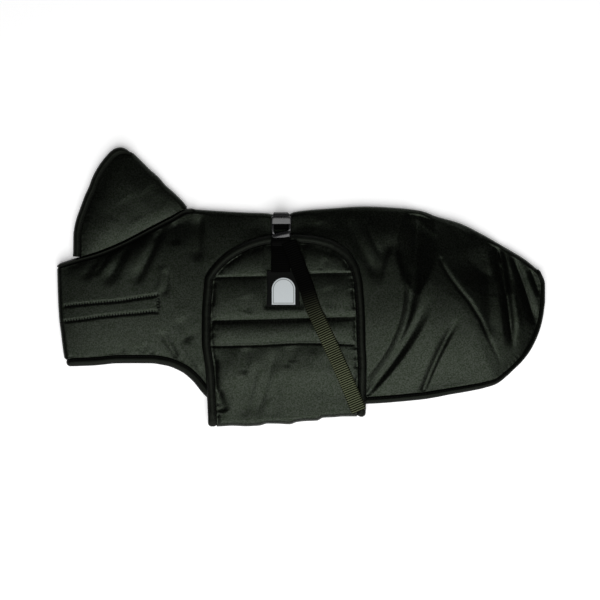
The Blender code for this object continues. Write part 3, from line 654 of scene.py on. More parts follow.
# Hollows: from the edge line the depth grows as 1 less the power 1.25 of what is left of the
# reach, and beyond the reach it fades as a bell of distance over the soft reach.
def hollowHeight(x, y, table):
    total = np.zeros(x.shape)
    for row in table:
        line = bent(row, 24)
        reach, soft, deep, close, start = row[6:]
        around = abs(reach) + 2.6 * soft
        low = line.min(axis=0) - around
        top = line.max(axis=0) + around
        inside = (x > low[0]) & (x < top[0]) & (y > low[1]) & (y < top[1])
        if not inside.any():
            continue
        away, along, side = nearest(x[inside], y[inside], line)
        share = along / lengthAlong(line)[-1]
        ends = rise(-0.02, start, share) * rise(1.02, 0.85, share)
        shrink = 1 - share * (1 - close)
        width = abs(reach) * shrink
        down = 1 - np.clip(1 - away / width, 0, 1) ** 1.25
        beyond = np.exp(-((np.maximum(away - width, 0) / (soft * shrink)) ** 1.8))
        total[inside] -= deep * ends * (side * np.sign(reach) > 0) * down * beyond
    return total


# The deep V of the rump: its depth is the slope times the smooth lesser of the distances from its
# two edge lines.
def pocketHeight(x, y):
    table = bodyFolds["pocket"]
    west, east = (nearest(x, y, bent(table[key], 24)) for key in ("west", "east"))
    within = (west[2] < 0) & (east[2] > 0) & (y > table["foot"])
    soft = table["soft"]
    lesser = -soft * np.log(np.exp(-west[0] / soft) + np.exp(-east[0] / soft)) + soft * math.log(2)
    return -table["slope"] * np.maximum(lesser, 0) * within


def grooveHeight(x, y, path, deep, wide, pucker, seed, spread=5.0):  # a sewn line and its puckers
    away, along, side = nearest(x, y, evenly(np.array(path, float), 4.0))
    long = lengthAlong(np.array(path, float))[-1]
    on = rise(0, 4, along) * rise(long, long - 4, along)
    strength = 0.65 + 0.5 * cloudy(along, side * 3, 17.0, seed)
    shift = along + 1.6 * cloudy(along, side * 9, 9.0, seed + 1)
    wave = np.sin(2 * math.pi * shift / pucker + (side > 0) * 1.1)
    ripple = 0.42 * wave * strength * np.exp(-away / spread) * rise(0.2, 2.0, away)
    return on * (ripple - deep * np.exp(-((away / wide) ** 2)))


def edgeRipple(away, along, length, high, depth, seed):  # puckers running in from a bound edge
    shift = along + 0.35 * length * cloudy(along, along * 0, length * 1.7, seed)
    strength = rise(-0.6, 0.7, cloudy(along, along * 0 + 5, length * 2.6, seed + 1))
    reach = depth * (0.6 + 0.8 * rise(-1, 1, cloudy(along, along * 0 + 9, length * 1.3, seed + 2)))
    return high * strength * np.sin(2 * math.pi * shift / length) * np.exp(-away / reach)


def besideStrap(x):  # distance along the back from the middle of the girth strap
    return np.abs(x - webbing["strapX"])


def strapDent(x, y):  # 1 where the girth strap presses the padding down, fading out beside it
    return (1 - rise(9, 30, besideStrap(x))) * rise(40, 62, y)


# How high the padding stands: the full height here, times 1 less an exponential decay of the
# distance from the hem, times the same for the fold, times the same for the neck seam.
def crown(x, hem, fold, neck):
    table = bodyFolds["crown"]
    high = through(table["x"], table["high"], np.clip(x, -262, 262))
    reach = np.interp(x, table["x"], table["reach"])
    high = high * (1 - np.exp(-hem / bodyFolds["crownReach"])) * (1 - np.exp(-(fold + 3) / reach))
    return high * (1 - np.exp(-neck / bodyFolds["neckReach"]))


def underFlap(x, y):  # 1 where the belly flap covers the body, which stays plain there
    across = rise(-108, -98, x) * (1 - rise(62, 72, x))
    top = 50 - 42 * np.clip(np.abs(x + 20) / 88, 0, 1) ** 3.2
    return across * (1 - rise(top - 6, top + 4, y))


# The near half's height: crown, folds, hollows, the V, the dart, the sewn rows, puckers at the
# edges and slow unevenness, all but the crown left out under the flap and the strap.
def bodyHeight(x, y, edges):
    hem, fold, neck = edges
    away = np.minimum.reduce([hem[0], neck[0], fold[0] + 1.5])
    z = level["edge"] + crown(x, hem[0], fold[0], neck[0]) * (1 - 0.75 * strapDent(x, y))
    own = foldHeight(x, y, bodyFolds["folds"]) * rise(-2, 8, neck[0])
    own += hollowHeight(x, y, bodyFolds["hollows"]) + pocketHeight(x, y)
    dartLine = np.array(dart["points"], float)
    beside, along, side = nearest(x, y, evenly(dartLine, 5.0))
    sunken = grooveHeight(x, y, dartLine, dart["deep"], dart["wide"], dart["pucker"], 40, 2.0)
    own += sunken * rise(150, 70, along)
    band = rise(0, 8, along) * rise(86, 50, along)
    own += dart["ridge"] * band * (side < 0) * np.exp(-(((beside - 3.6) / 3.0) ** 2))
    for number, key in enumerate(("upper", "lower")):
        own += grooveHeight(x, y, hookRows[key], hookRows["deep"], hookRows["wide"],
                            hookRows["pucker"], 50 + number, 2.6)
    own += grooveHeight(x, y, hookRows["end"], 1.0, 1.2, 6.0, 55, 2.0)
    own += edgeRipple(hem[0], hem[1], 5.5, 0.5, 2.6, 60)
    nips = rise(-0.8, 0.6, cloudy(hem[1], hem[1] * 0, 7.0, 61)) * rise(200, 175, x)
    own -= 1.3 * np.exp(-hem[0] / 1.6) * nips
    own += edgeRipple(neck[0], neck[1], 9.0, 0.3, 3.5, 63)
    own += 0.35 * cloudy(x, y, 38, 70) + 0.09 * cloudy(x, y, 14, 71) + 0.03 * cloudy(x, y, 4.5, 72)
    quiet = (1 - underFlap(x, y)) * (1 - strapDent(x, y))
    return z + own * quiet * rise(0, 2.5, away)


def bodyBorders(plan, foldFrom):
    chest = plan[:, 0]
    hem = evenly(np.concatenate([plan[0], plan[1:, -1]]), 3.0)
    neck = evenly(plan[-1, :foldFrom + 1], 3.0)
    back = evenly(plan[-1, foldFrom:], 3.0)
    return hem, evenly(chest, 3.0), neck, back


def bodyEdges(plan, borders):
    x, y = plan[..., 0], plan[..., 1]
    hem, chest, neck, back = (nearest(x, y, path) for path in borders)
    first = chest[0] < back[0]
    fold = [np.where(first, a, b) for a, b in zip(chest, back)]
    return hem, fold, neck


# Border loops of a half with folds: at a fold an ellipse from 60 degrees above its middle round to
# its foot, out by its cosine and up by its sine, and at a cut edge a straight drop to the inside.
def rollLoops(net, outward, folded):
    edge = net.reshape(-1, 3)[borderOf(*net.shape[:2])]
    inside, foot = level["nearInside"], level["foldFoot"]
    high = edge[:, 2:]
    share = folded[:, None]
    loops = []
    for angle in (45, 30, 12, -8, -28, -50, -70, -90):
        turn = math.radians(angle)
        out = math.cos(turn) * 2 - 1 if angle > 0 else math.cos(turn)
        up = math.sin(turn) / math.sin(math.radians(60)) if angle > 0 else math.sin(turn)
        rolled = (high + foot) / 2 + (high - foot) / 2 * up
        dropped = high + (inside - high) * (60 - angle) / 150 * 0.8
        plan = edge[:, :2] + outward * (level["foldReach"] * out) * share
        loops.append(np.hstack([plan, rolled * share + dropped * (1 - share)]))
    inner = edge.copy()
    inner[:, 2] = inside
    return loops + [inner]


def borderOutward(plan):  # outward directions all round a net's border, in the plane
    path = plan.reshape(-1, 2)[borderOf(*plan.shape[:2])]
    tangent = unit(np.roll(path, -1, axis=0) - np.roll(path, 1, axis=0))
    return np.column_stack([tangent[:, 1], -tangent[:, 0]])


def smoothLoop(values, times):
    for step in range(times):
        values = (np.roll(values, 1) + 2 * values + np.roll(values, -1)) / 4
    return values


def makeBody(cloth):
    plan = bodyNet(bodyCut["finePer"], bodyCut["fineRows"])
    rows, columns = plan.shape[:2]
    foldFrom = bodyCut["neckEnd"] * bodyCut["finePer"]
    borders = bodyBorders(plan, foldFrom)
    z = bodyHeight(plan[..., 0], plan[..., 1], bodyEdges(plan, borders))
    border = borderOf(rows, columns)
    r, c = np.divmod(border, columns)
    folded = ((c == 0) | ((r == rows - 1) & (c >= foldFrom))).astype(float)
    folded[0] = 1.0
    net = np.dstack([plan, z])
    loops = rollLoops(net, borderOutward(plan), smoothLoop(folded, 2))
    near = paddedHalf("bodyNearHalf", net, loops, cloth, ("body_shell",))
    flatPlan = bodyNet(bodyCut["farPer"], bodyCut["farRows"])
    x, y = flatPlan[..., 0], flatPlan[..., 1]
    away = np.minimum.reduce([part[0] for part in bodyEdges(flatPlan, borders)])
    creases = foldHeight(x, y, [row for row in bodyFolds["folds"] if row[8] < bodyFolds["deepFold"]])
    creases += hollowHeight(x, y, bodyFolds["hollows"])
    under = np.clip(-0.45 * creases, 0, 1.6) * rise(4, 16, away) * (1 - rise(55, 75, y))
    channel = (1 - rise(7.9, 9.4, besideStrap(x))) * rise(10.5, 12.2, y)  # where the strap lies underneath
    under = np.maximum(under * (1 - rise(16, 9, besideStrap(x))), 1.7 * channel)
    far = flushHalf("bodyFarHalf", flatPlan, under, cloth, ("body_shell",))
    print("body halves made", len(near.data.polygons), len(far.data.polygons))
    return plan, foldFrom, borders


tapeShape = {
    #        0 at the sewn side, 1 at the outer side; height share from inner lip to outer lip
    "section": ((-0.06, 0.6), (0.0, 0.72), (0.08, 0.8), (0.18, 0.92), (0.3, 1.06), (0.44, 1.12),
                (0.62, 1.08), (0.78, 0.93), (0.92, 0.7), (1.0, 0.4), (0.96, 0.18), (0.84, 0.03),
                (0.5, 0.0), (0.1, 0.0), (-0.06, 0.1)),
    "cord": ((-0.1, 0.4), (0.02, 0.5), (0.14, 0.78), (0.24, 1.08), (0.38, 1.3), (0.52, 1.36),
             (0.66, 1.26), (0.8, 0.98), (0.9, 0.7), (1.0, 0.45), (0.96, 0.2), (0.84, 0.03),
             (0.5, 0.0), (0.1, 0.0), (-0.06, 0.1)),
    "edgeWidth": {"along": (0, 0.27, 0.34, 0.66, 0.75, 0.82, 1), "wide": (9, 9, 7.5, 7.5, 6.5, 4.3, 4.3)},
    "pipingWidth": 5.4, "collarWidth": 8.6, "flapWidth": 9.2, "gap": 0.3, "turns": 9,
    "edgeTop": 9.9, "cordTop": 10.4, "cordInside": 4.0, "farTop": 4.4,
}


# Lips of a double edge: along the near half, round the fold on two arcs about the middle height,
# back along the far half and, where it is closed, round the other fold.
def doubleLips(plan, outward, near, far, closed):
    middle = (near[1] + far[1]) / 2
    outerRadius = near[0] - middle
    innerRadius = near[1] - middle
    turns = [(plan[-1], unit(plan[-1] - plan[-2]), outward[-1], 1)]
    if closed:
        turns.append((plan[0], unit(plan[0] - plan[1]), outward[0], -1))
    angles = np.radians(np.linspace(72, -72, tapeShape["turns"]))
    count = len(plan)
    outer = [np.column_stack([plan, np.full(count, near[0])])]
    inner = [np.column_stack([plan, np.full(count, near[1])])]
    side = [outward]
    for number, (point, away, facing, turn) in enumerate(turns):
        c = np.cos(angles)[:, None]
        s = np.sin(angles)[:, None] * turn
        outer.append(np.hstack([point + away * outerRadius * c, middle + outerRadius * s]))
        inner.append(np.hstack([point + away * innerRadius * c, middle + innerRadius * s]))
        side.append(np.tile(facing, (len(angles), 1)))
        if number == 0:
            outer.append(np.column_stack([plan[::-1], np.full(count, far[0])]))
            inner.append(np.column_stack([plan[::-1], np.full(count, far[1])]))
            side.append(outward[::-1])
    side = np.concatenate(side)
    return np.concatenate(outer), np.concatenate(inner), np.column_stack([side, side[:, 0] * 0])


# A folded tape round an edge: each point of the section is out from the lips by its share of the
# width and up from the inner lip by its share of their distance, plus sewing puckers along the sewn
# side and a slow wave. Still is how flat each place is kept, 1 on the floor.
def makeTape(name, lips, width, material, replaces, closed, seed, still, proud, ripple=0.55,
             section="section", plain=0.0):
    outer, inner, side = lips
    width = np.broadcast_to(width, (len(outer),))
    run = lengthAlong((outer + inner) / 2)
    slow = 0.3 * cloudy(run, run * 0, 23.0, seed) + 0.18 * cloudy(run, run * 0, 8.0, seed + 1)
    pull = np.sin(2 * math.pi * (run + 1.5 * cloudy(run, run * 0, 14.0, seed + 2)) / 6.6)
    up = unit(outer - inner)
    rings = []
    for out, high in tapeShape[section]:
        top = max(high - 0.6, 0) / 0.5
        wave = top * (1 - still) * ripple * (slow + 0.35 * pull * (1 - min(max(out, 0), 1)) ** 2)
        bow = (1 - still) * 0.5 * slow * (out > 0.8)
        filled = high + (max(high, 0.97) - high) * plain * (out < 0.4)  # no dip along the sewn side
        share = (filled - max(high - 1, 0) * still)[:, None]
        base = inner + (outer - inner) * share + up * (proud * top * (1 - still))[:, None]
        reach = tapeShape["gap"] + out * width + bow
        rings.append(base + side * reach[:, None] + up * wave[:, None])
    rings = np.array(rings).transpose(1, 0, 2)
    rings[..., 2] = np.maximum(rings[..., 2], 0)
    carried(name, rings, material, replaces, closed)


def stillUnder(count, closed):  # 0 along the near half, 1 along the far half, even round the folds
    turns = tapeShape["turns"]
    parts = [np.zeros(count), np.linspace(0, 1, turns), np.ones(count)]
    return np.concatenate(parts + [np.linspace(1, 0, turns)] * closed)


def makeEdgeTape(plan, tapeCloth):
    path = evenly(np.concatenate([plan[0], plan[1:, -1]]), 1.5)[2:]
    outward = eased(rightOf(path), 6)
    run = lengthAlong(path)
    wide = np.interp(run / run[-1], tapeShape["edgeWidth"]["along"], tapeShape["edgeWidth"]["wide"])
    near, far = (tapeShape["edgeTop"], level["nearInside"]), (0.0, tapeShape["farTop"])
    lips = doubleLips(path, outward, near, far, True)
    turns = tapeShape["turns"]
    width = np.concatenate([wide, np.full(turns, wide[-1]), wide[::-1], np.full(turns, wide[0])])
    rear = rise(185, 205, lips[0][:, 0])
    makeTape("edgeTape", lips, width, tapeCloth, ("edge_tape",), True, 110, stillUnder(len(path), True),
             0.8, plain=rear)
    return path, outward


def makePiping(plan, foldFrom, tapeCloth):
    path = evenly(plan[-1, :foldFrom + 1], 1.5)[2:]
    near, far = (tapeShape["cordTop"], level["nearInside"]), (0.0, tapeShape["cordInside"])
    lips = doubleLips(path, -rightOf(path), near, far, True)
    makeTape("neckPiping", lips, tapeShape["pipingWidth"], tapeCloth, ("neck_piping",), True, 120,
             stillUnder(len(path), True), 0.6, ripple=0.3, section="cord")


collarCut = {
    "free": {"y": (31.8, 38, 55.5, 63.2, 71.4, 79.3, 87.8, 96.3, 104.8, 113.4, 121.6, 129.6, 138.2),
             "x": (-242, -241.6, -241.4, -240.3, -238.2, -235.2, -232, -228.7, -224.5, -221.2, -217.1,
                   -211.9, -204.6)},
    "fold": {"y": (80.6, 87.3, 96, 104.8, 113.7, 122.5, 131.3, 141.5),
             "x": (-126.7, -132.2, -141, -150.9, -158.6, -168.5, -177.3, -187.8)},
    "baseX": (-240, -126.5), "tipRise": 3.2, "columns": 130, "rows": 130, "farCount": 30,
    "crown": 5.0, "reach": 17,
    "folds": ((-222, 52, -212, 60, -204, 74, 9, 9, 0.35), (-176, 70, -184, 84, -192, 96, 12, 12, -0.4),
              (-150, 84, -160, 92, -172, 104, 10, 10, -0.35)),
}


# The collar's net, from the neck seam up to the tip between its free edge and its fold.
def collarNet(columnCount, rowCount):
    baseX = np.linspace(*collarCut["baseX"], columnCount)
    neckY = through(bodyCut["topX"], bodyCut["topY"], baseX)
    neck = np.column_stack([baseX, neckY])
    foot = neck - rightOf(neck) * (tapeShape["pipingWidth"] + 2 * tapeShape["gap"] - 0.5)
    v = np.linspace(0, 1, rowCount)
    left = downCurve(collarCut["free"], v)
    right = downCurve(collarCut["fold"], v)
    left += (foot[0] - left[0]) * (1 - v)[:, None]
    right += (foot[-1] - right[0]) * (1 - v)[:, None]
    share = np.linspace(0, 1, columnCount)[:, None]
    top = left[-1] * (1 - share) + right[-1] * share
    top[:, 1] += collarCut["tipRise"] * 4 * (share * (1 - share))[:, 0]
    return netBetween(foot, top, left, right, v, 1)


def makeCollar(cloth, tapeCloth):
    plan = collarNet(collarCut["columns"], collarCut["rows"])
    x, y = plan[..., 0], plan[..., 1]
    free = nearest(x, y, evenly(np.concatenate([plan[:, 0], plan[-1]]), 2.5))
    base = nearest(x, y, evenly(plan[0], 2.5))
    fold = nearest(x, y, evenly(plan[:, -1], 2.5))
    away = np.minimum.reduce([free[0], base[0], fold[0] + 1.5])
    puffed = [1 - np.exp(-far / collarCut["reach"]) for far in (free[0], base[0], fold[0] + 4)]
    z = level["edge"] + collarCut["crown"] * np.prod(puffed, axis=0)
    own = foldHeight(x, y, collarCut["folds"]) + edgeRipple(free[0], free[1], 5.5, 0.4, 2.4, 130)
    own += edgeRipple(base[0], base[1], 6.0, 0.2, 2.0, 133)
    own += 0.2 * cloudy(x, y, 30, 136) + 0.04 * cloudy(x, y, 7, 137)
    z = z + own * rise(0, 3, away)
    rows, columns = plan.shape[:2]
    c = borderOf(rows, columns) % columns
    net = np.dstack([plan, z])
    loops = rollLoops(net, borderOutward(plan), smoothLoop((c == columns - 1).astype(float), 1))
    paddedHalf("collarNearHalf", net, loops, cloth, ("collar",))
    flatPlan = collarNet(collarCut["farCount"], collarCut["farCount"])
    flushHalf("collarFarHalf", flatPlan, flatPlan[..., 0] * 0, cloth, ("collar",))
    path = evenly(np.concatenate([plan[:, 0], plan[-1, 1:]]), 1.0)[:-2]
    outward = eased(-rightOf(path), 14)
    near, far = (tapeShape["edgeTop"], level["nearInside"]), (0.0, tapeShape["farTop"])
    lips = doubleLips(path, outward, near, far, False)
    toGo = np.arange(len(path))[::-1]  # millimetres still to go to the tip
    wide = tapeShape["collarWidth"] * (0.45 + 0.55 * np.sin(np.clip(toGo / 12, 0, 1) * math.pi / 2))
    wide = np.concatenate([wide, np.full(tapeShape["turns"], wide[-1]), wide[::-1]])
    makeTape("collarTape", lips, wide, tapeCloth, ("collar_tape",), False, 140,
             stillUnder(len(path), False), 0.8)
    print("collar made")
    return path, outward


flapCut = {
    "sides": {"y": (-146, -94, -61, -28, -6), "left": (-92, -94.5, -98.5, -98.2, -96.4),
              "right": (62, 62.8, 61.3, 60.4, 58.6)},
    "archX": (-95.6, -91, -77, -61, -47, -32, -17, -6, 5, 28, 43.5, 54, 58),
    "archY": (5, 12, 26, 35.5, 41, 44.2, 45.3, 45.3, 44.8, 40.3, 31.5, 17, 2),
    "splitY": -6.0, "turnX": (-110, -92, -75, -60, -45, -36, -24, -12, -4, 4, 18, 25, 38, 46, 60, 80),
    "turnY": (-148.3, -148.3, -147.4, -148, -147.2, -145, -145.2, -145.8, -143.4, -142.4, -141.8, -138.6,
              -138.0, -137.2, -137.2, -137.2),
    "returnY": -134.2, "columns": 170, "rowsAbove": 44, "rowsBelow": 112, "wall": 4.2,
    "turnSpan": (-92, 62), "turnFrom": 64, "turnSteps": 14, "turnOut": 8.0, "turnIn": 3.4,
    "rolls": (1.7, 2.3, 2.5, 2.6), "padded": (62, -158), "rowWide": (1.1, 2.2, 1.3), "sag": 1.2,
    "stitched": (((-97, 7.6), (-60, 8.6), (-36, 9), (0, 11.2), (30, 12.4), (60, 12.4)),
                 ((-99, -39.5), (-50, -38.5), (0, -37), (61, -35.5)),
                 ((-99, -67), (-50, -66), (0, -63.5), (35, -64), (62, -65.5))),
    "folds": ((-58, -66, -59, -82, -62, -100, 6, 6, -1.1), (-28, -70, -36, -104, -49, -146, 7, 6, -1.7),
              (-47, -84, -54, -112, -63, -148, 7, 6, -1.5), (-26, -98, -27, -122, -29, -150, 6, 6, -0.9),
              (-12, -66, -13, -78, -16, -92, 5, 5, -0.7), (-4, -64, -6, -73, -9, -86, 5, 5, -0.5),
              (-91, -113, -88, -127, -83, -141, 5.2, 5.2, -2.2),
              (-95, -80, -92, -90, -94, -98, 3.4, 3.4, -0.9), (-72, 42, -70, 34, -72, 26, 4.6, 4.6, -0.6),
              (30, -76, 26, -98, 18, -124, 8.0, 8.0, -0.8),
              (12, -70, 16, -86, 12, -100, 6.9, 6.9, 0.5), (-74, -92, -70, -112, -72, -136, 7, 7, 0.6),
              (48, -70, 46, -84, 50, -98, 5.8, 5.8, -0.5), (-60, -12, -56, -22, -58, -32, 6.9, 6.9, -0.5),
              (30, 28, 24, 22, 22, 14, 4.6, 4.6, -0.4), (28, -2, 34, -14, 30, -26, 6.9, 6.9, -0.4)),
}


# The flap's net: even shares of the arch above go straight down to a line across the flap, and
# below it each row runs from the left side's curve to the right's, down to the turned foot.
def flapNet():
    share = np.linspace(0, 1, flapCut["columns"])
    archX = np.linspace(flapCut["archX"][0], flapCut["archX"][-1], 600)
    arch = np.column_stack([archX, through(flapCut["archX"], flapCut["archY"], archX)])
    run = lengthAlong(arch)
    arch = np.column_stack([np.interp(share * run[-1], run, column) for column in arch.T])
    sides = flapCut["sides"]
    ends = [float(through(sides["y"], sides[key], flapCut["splitY"])) for key in ("left", "right")]
    split = np.column_stack([ends[0] + (ends[1] - ends[0]) * share, share * 0 + flapCut["splitY"]])
    down = np.linspace(0, 1, flapCut["rowsAbove"], endpoint=False)[:, None, None]
    above = arch[None] * (1 - down) + split[None] * down
    west, east = flapCut["turnSpan"]
    turnX = west + (east - west) * share
    turn = np.column_stack([turnX, through(flapCut["turnX"], flapCut["turnY"], turnX)])
    down = np.linspace(0, 1, flapCut["rowsBelow"])[:, None]
    y = flapCut["splitY"] * (1 - down) + turn[None, :, 1] * down
    within = np.clip(y, sides["y"][0], sides["y"][-1])
    left = through(sides["y"], sides["left"], within)
    right = through(sides["y"], sides["right"], within)
    below = np.dstack([left + (right - left) * share[None], y])
    return np.concatenate([above, below])


def restHeight(x, y, borders):  # the padded near half below the flap
    hem, neck, back = (nearest(x, y, borders[number]) for number in (0, 2, 3))
    inside = rise(-132, -92, y)
    return level["edge"] + crown(x, hem[0] * inside, back[0], neck[0]) * (1 - 0.75 * strapDent(x, y))


# The flap's height: the body below, its own wall, a roll of padding between each two quilting
# rows as a power of a sine, the rows as grooves, its folds and puckers, and less under the label.
def flapHeight(x, y, away, along, borders):
    z = restHeight(x, y, borders) + 0.8 + flapCut["wall"]
    lines = [through([p[0] for p in row], [p[1] for p in row], np.clip(x, -97, 60))
             for row in flapCut["stitched"]]
    stops = [x * 0 + flapCut["padded"][0], *lines, x * 0 + flapCut["padded"][1]]
    roll = np.zeros(x.shape)
    for high, low, tall in zip(stops[:-1], stops[1:], flapCut["rolls"]):
        share = np.clip((y - low) / (high - low), 0, 1)
        roll = np.maximum(roll, tall * np.sin(math.pi * share) ** 0.55 * (share > 0) * (share < 1))
    pressed = rise(-44, -36, x) * (1 - rise(0, 8, x)) * rise(-30, -22, y)  # where the label lies
    roll = roll * (1 - 0.75 * pressed)
    own = roll * (1 - np.exp(-away / 6.0))
    for number, (row, wide) in enumerate(zip(flapCut["stitched"], flapCut["rowWide"])):
        groove = grooveHeight(x, y, row, 1.0, wide, 5.4, 150 + 3 * number, 2.2)
        own += (1 - 0.85 * pressed) * groove
    own += foldHeight(x, y, flapCut["folds"]) * (1 - pressed)
    own += edgeRipple(away, along, 6.0, 0.5, 2.8, 170)
    own -= 2.0 * np.exp(-away / 2.4) * rise(-0.7, 0.4, cloudy(along, along * 0, 5.0, 171))
    own += (0.25 * cloudy(x, y, 30, 173) + 0.1 * cloudy(x, y, 10, 174)) * (1 - pressed)
    return z + own * rise(-0.5, 2.2, away)


flapSurface = {}


def makeFlap(cloth, tapeCloth, borders):
    plan = flapNet()
    x, y = plan[..., 0], plan[..., 1]
    edgeLine = np.concatenate([plan[::-1, 0], plan[0, 1:-1], plan[:, -1]])
    away, along = nearest(x, y, evenly(edgeLine, 2.5))[:2]
    top = flapHeight(x, y, away, along, borders)
    top = top - flapCut["sag"] * rise(-112, -146, y)  # it sags towards its turned foot
    inside = np.minimum(restHeight(x, y, borders) + 0.8, top - 2.4)
    last = plan[-1]
    outer = list(np.dstack([plan, top]))
    inner = list(np.dstack([plan, inside]))
    middle = (inside[-1] + level["farInside"]) / 2
    half = (inside[-1] - level["farInside"]) / 2
    for angle in np.radians(np.linspace(flapCut["turnFrom"], -90, flapCut["turnSteps"])):
        c = np.cos(angle)
        s = np.sin(angle)
        high = top[-1] / 2 * (1 + (s / math.sin(math.radians(flapCut["turnFrom"])) if s > 0 else s))
        out = flapCut["turnOut"] * max(c - 0.2, 0) / 0.8
        outer.append(np.column_stack([last[:, 0], last[:, 1] - out, high]))
        inner.append(np.column_stack([last[:, 0], last[:, 1] - flapCut["turnIn"] * c, middle + half * s]))
    for share in (0.5, 1.0):
        y = last[:, 1] * (1 - share) + flapCut["returnY"] * share
        outer.append(np.column_stack([last[:, 0], y, 0 * y]))
        inner.append(np.column_stack([last[:, 0], y, 0 * y + level["farInside"]]))
    outer = np.array(outer)
    inner = np.array(inner)
    rows, columns = outer.shape[:2]
    border = borderOf(rows, columns)
    after = np.roll(border, -1)
    size = rows * columns
    faces = gridFaces(rows, columns) + gridFaces(rows, columns, size)
    faces = [face[::-1] if index < (rows - 1) * (columns - 1) else face for index, face in enumerate(faces)]
    faces += np.stack([border, after, after + size, border + size], 1).tolist()
    makePiece("bellyFlap", np.concatenate([outer.reshape(-1, 3), inner.reshape(-1, 3)]), faces,
              cloth, ("belly_flap",))
    outerLip = np.concatenate([outer[:0:-1, 0], outer[0], outer[1:, -1]])
    innerLip = np.concatenate([inner[:0:-1, 0], inner[0], inner[1:, -1]])
    below = rows - len(plan)
    outward = np.zeros_like(outerLip)
    outward[below:-below, :2] = -rightOf(outerLip[below:-below, :2])
    outward[:below + 1] = (-1, 0, 0)
    outward[-below - 1:] = (1, 0, 0)
    lips = respaced(outerLip, innerLip, eased(outward, 10), 1.4)
    still = np.maximum(rise(10.0, 6.5, lips[0][:, 2]), rise(-143, -147, lips[0][:, 1]))
    makeTape("flapTape", lips, tapeShape["flapWidth"], tapeCloth, ("flap_tape",), False, 180, still, 0.9)
    flapSurface.update(plan=plan, top=top)
    print("flap made")
    return lips


def respaced(outer, inner, side, spacing):
    run = lengthAlong((outer + inner) / 2)
    share = np.linspace(0, run[-1], int(run[-1] / spacing))
    pick = lambda part: np.column_stack([np.interp(share, run, column) for column in part.T])
    return pick(outer), pick(inner), unit(pick(side))


def flapTop(x, y):  # height of the flap's outside at some points, by its nearest net points
    plan = flapSurface["plan"].reshape(-1, 2)
    top = flapSurface["top"].reshape(-1)
    x, y = np.broadcast_arrays(np.asarray(x, float), np.asarray(y, float))
    result = np.empty(x.size)
    for index, (px, py) in enumerate(zip(x.ravel(), y.ravel())):
        gap = np.hypot(plan[:, 0] - px, plan[:, 1] - py)
        near = np.argpartition(gap, 4)[:4]
        weight = 1 / (gap[near] + 0.05)
        result[index] = (top[near] * weight).sum() / weight.sum()
    return result.reshape(x.shape)


webbing = {"width": 16.6, "flapWidth": 21.0, "thick": 1.4, "strapX": -21.5, "rib": webFinish["rib"],
           "ribHigh": 0.26}


def edgeRound(share):  # how far a webbing's face draws in near its edges, a quarter circle
    if abs(share) <= 0.9:
        return 0.0
    return 0.5 * webbing["thick"] * (1 - np.sqrt(np.clip(1 - ((abs(share) - 0.9) / 0.1) ** 2, 0, 1)))


# A ribbed ribbon along a line of centres: its face is up from the line by its thickness, less the
# rounding of its edges, plus a sine of the length for the ribs that run across it.
def makeRibbon(name, centre, across, up, material, replaces, rough=1.0, width=webbing["width"]):
    run = lengthAlong(centre)
    fine = np.arange(0, run[-1], 0.35)
    pick = lambda part: np.column_stack([np.interp(fine, run, column) for column in part.T])
    centre, across, up = pick(centre), unit(pick(across)), unit(pick(up))
    half = width / 2
    share = np.array([-1, -0.97, -0.9, -0.7, -0.45, -0.15, 0.15, 0.45, 0.7, 0.9, 0.97, 1])
    ribs = webbing["ribHigh"] * (0.5 + 0.5 * np.sin(2 * math.pi * fine / webbing["rib"])) * rough
    rings = []
    uvs = []
    for s in share:
        lift = webbing["thick"] - edgeRound(s) - 0.3 + ribs * (1 - 0.6 * (abs(s) > 0.9))
        rings.append(centre + across * (s * half) + up * lift[:, None])
        uvs.append(np.column_stack([fine * 0 + s * half, fine]))
    for s in share[::-1]:
        rings.append(centre + across * (s * half * 0.995) + up * edgeRound(s) * 0.9)
        uvs.append(np.column_stack([fine * 0 + s * half, fine]))
    rings = np.array(rings).transpose(1, 0, 2)
    uvs = np.array(uvs).transpose(1, 0, 2)
    carried(name, rings, material, replaces, uv=uvs.reshape(-1, 2))


looseEnd = {
    "x": (-12.5, -9.5, -5.6, -2.2, 2.2, 6.4, 10.2, 14.6, 20.4, 29.4, 37.6, 45.4, 51.4, 57.0, 64.2),
    "y": (46.0, 38.0, 28.5, 18.5, 8.0, -3.0, -15.0, -28.0, -40.0, -59.0, -77.0, -94.0, -108.0, -121.5,
          -138.5),
    "across": (-7, -3, 0, 3, 7),
}
strapLine = {
    "y": (60, 64, 68, 71.5, 74.4, 76.5, 77.9, 78.3, 77.6, 76, 73.6, 70, 62, 50, 30, 12),
    "z": (12.4, 12.2, 11.9, 11.4, 10.5, 8.9, 6.9, 4.9, 3.2, 2.1, 1.5, 1.4, 1.4, 1.4, 1.4, 1.4),
}


# The girth strap wears the shaded copy of the webbing, painted shade all along.
def makeGirthStrap(webShaded):  # round the back fold and flush under the far half
    y = np.array(strapLine["y"], float)
    z = np.array(strapLine["z"], float)
    centre = np.column_stack([0 * y + webbing["strapX"], y, z])
    run = lengthAlong(centre) / lengthAlong(centre)[-1]
    centre = np.column_stack([np.interp(np.linspace(0, 1, 120), run, column) for column in centre.T])
    tangent = unit(np.gradient(centre, axis=0))
    up = eased(np.column_stack([0 * tangent[:, 0], -tangent[:, 2], tangent[:, 1]]), 20)
    across = np.tile((1.0, 0, 0), (len(centre), 1))
    makeRibbon("girthStrap", centre, across, up, webShaded, ("girth_strap",), 0.6)
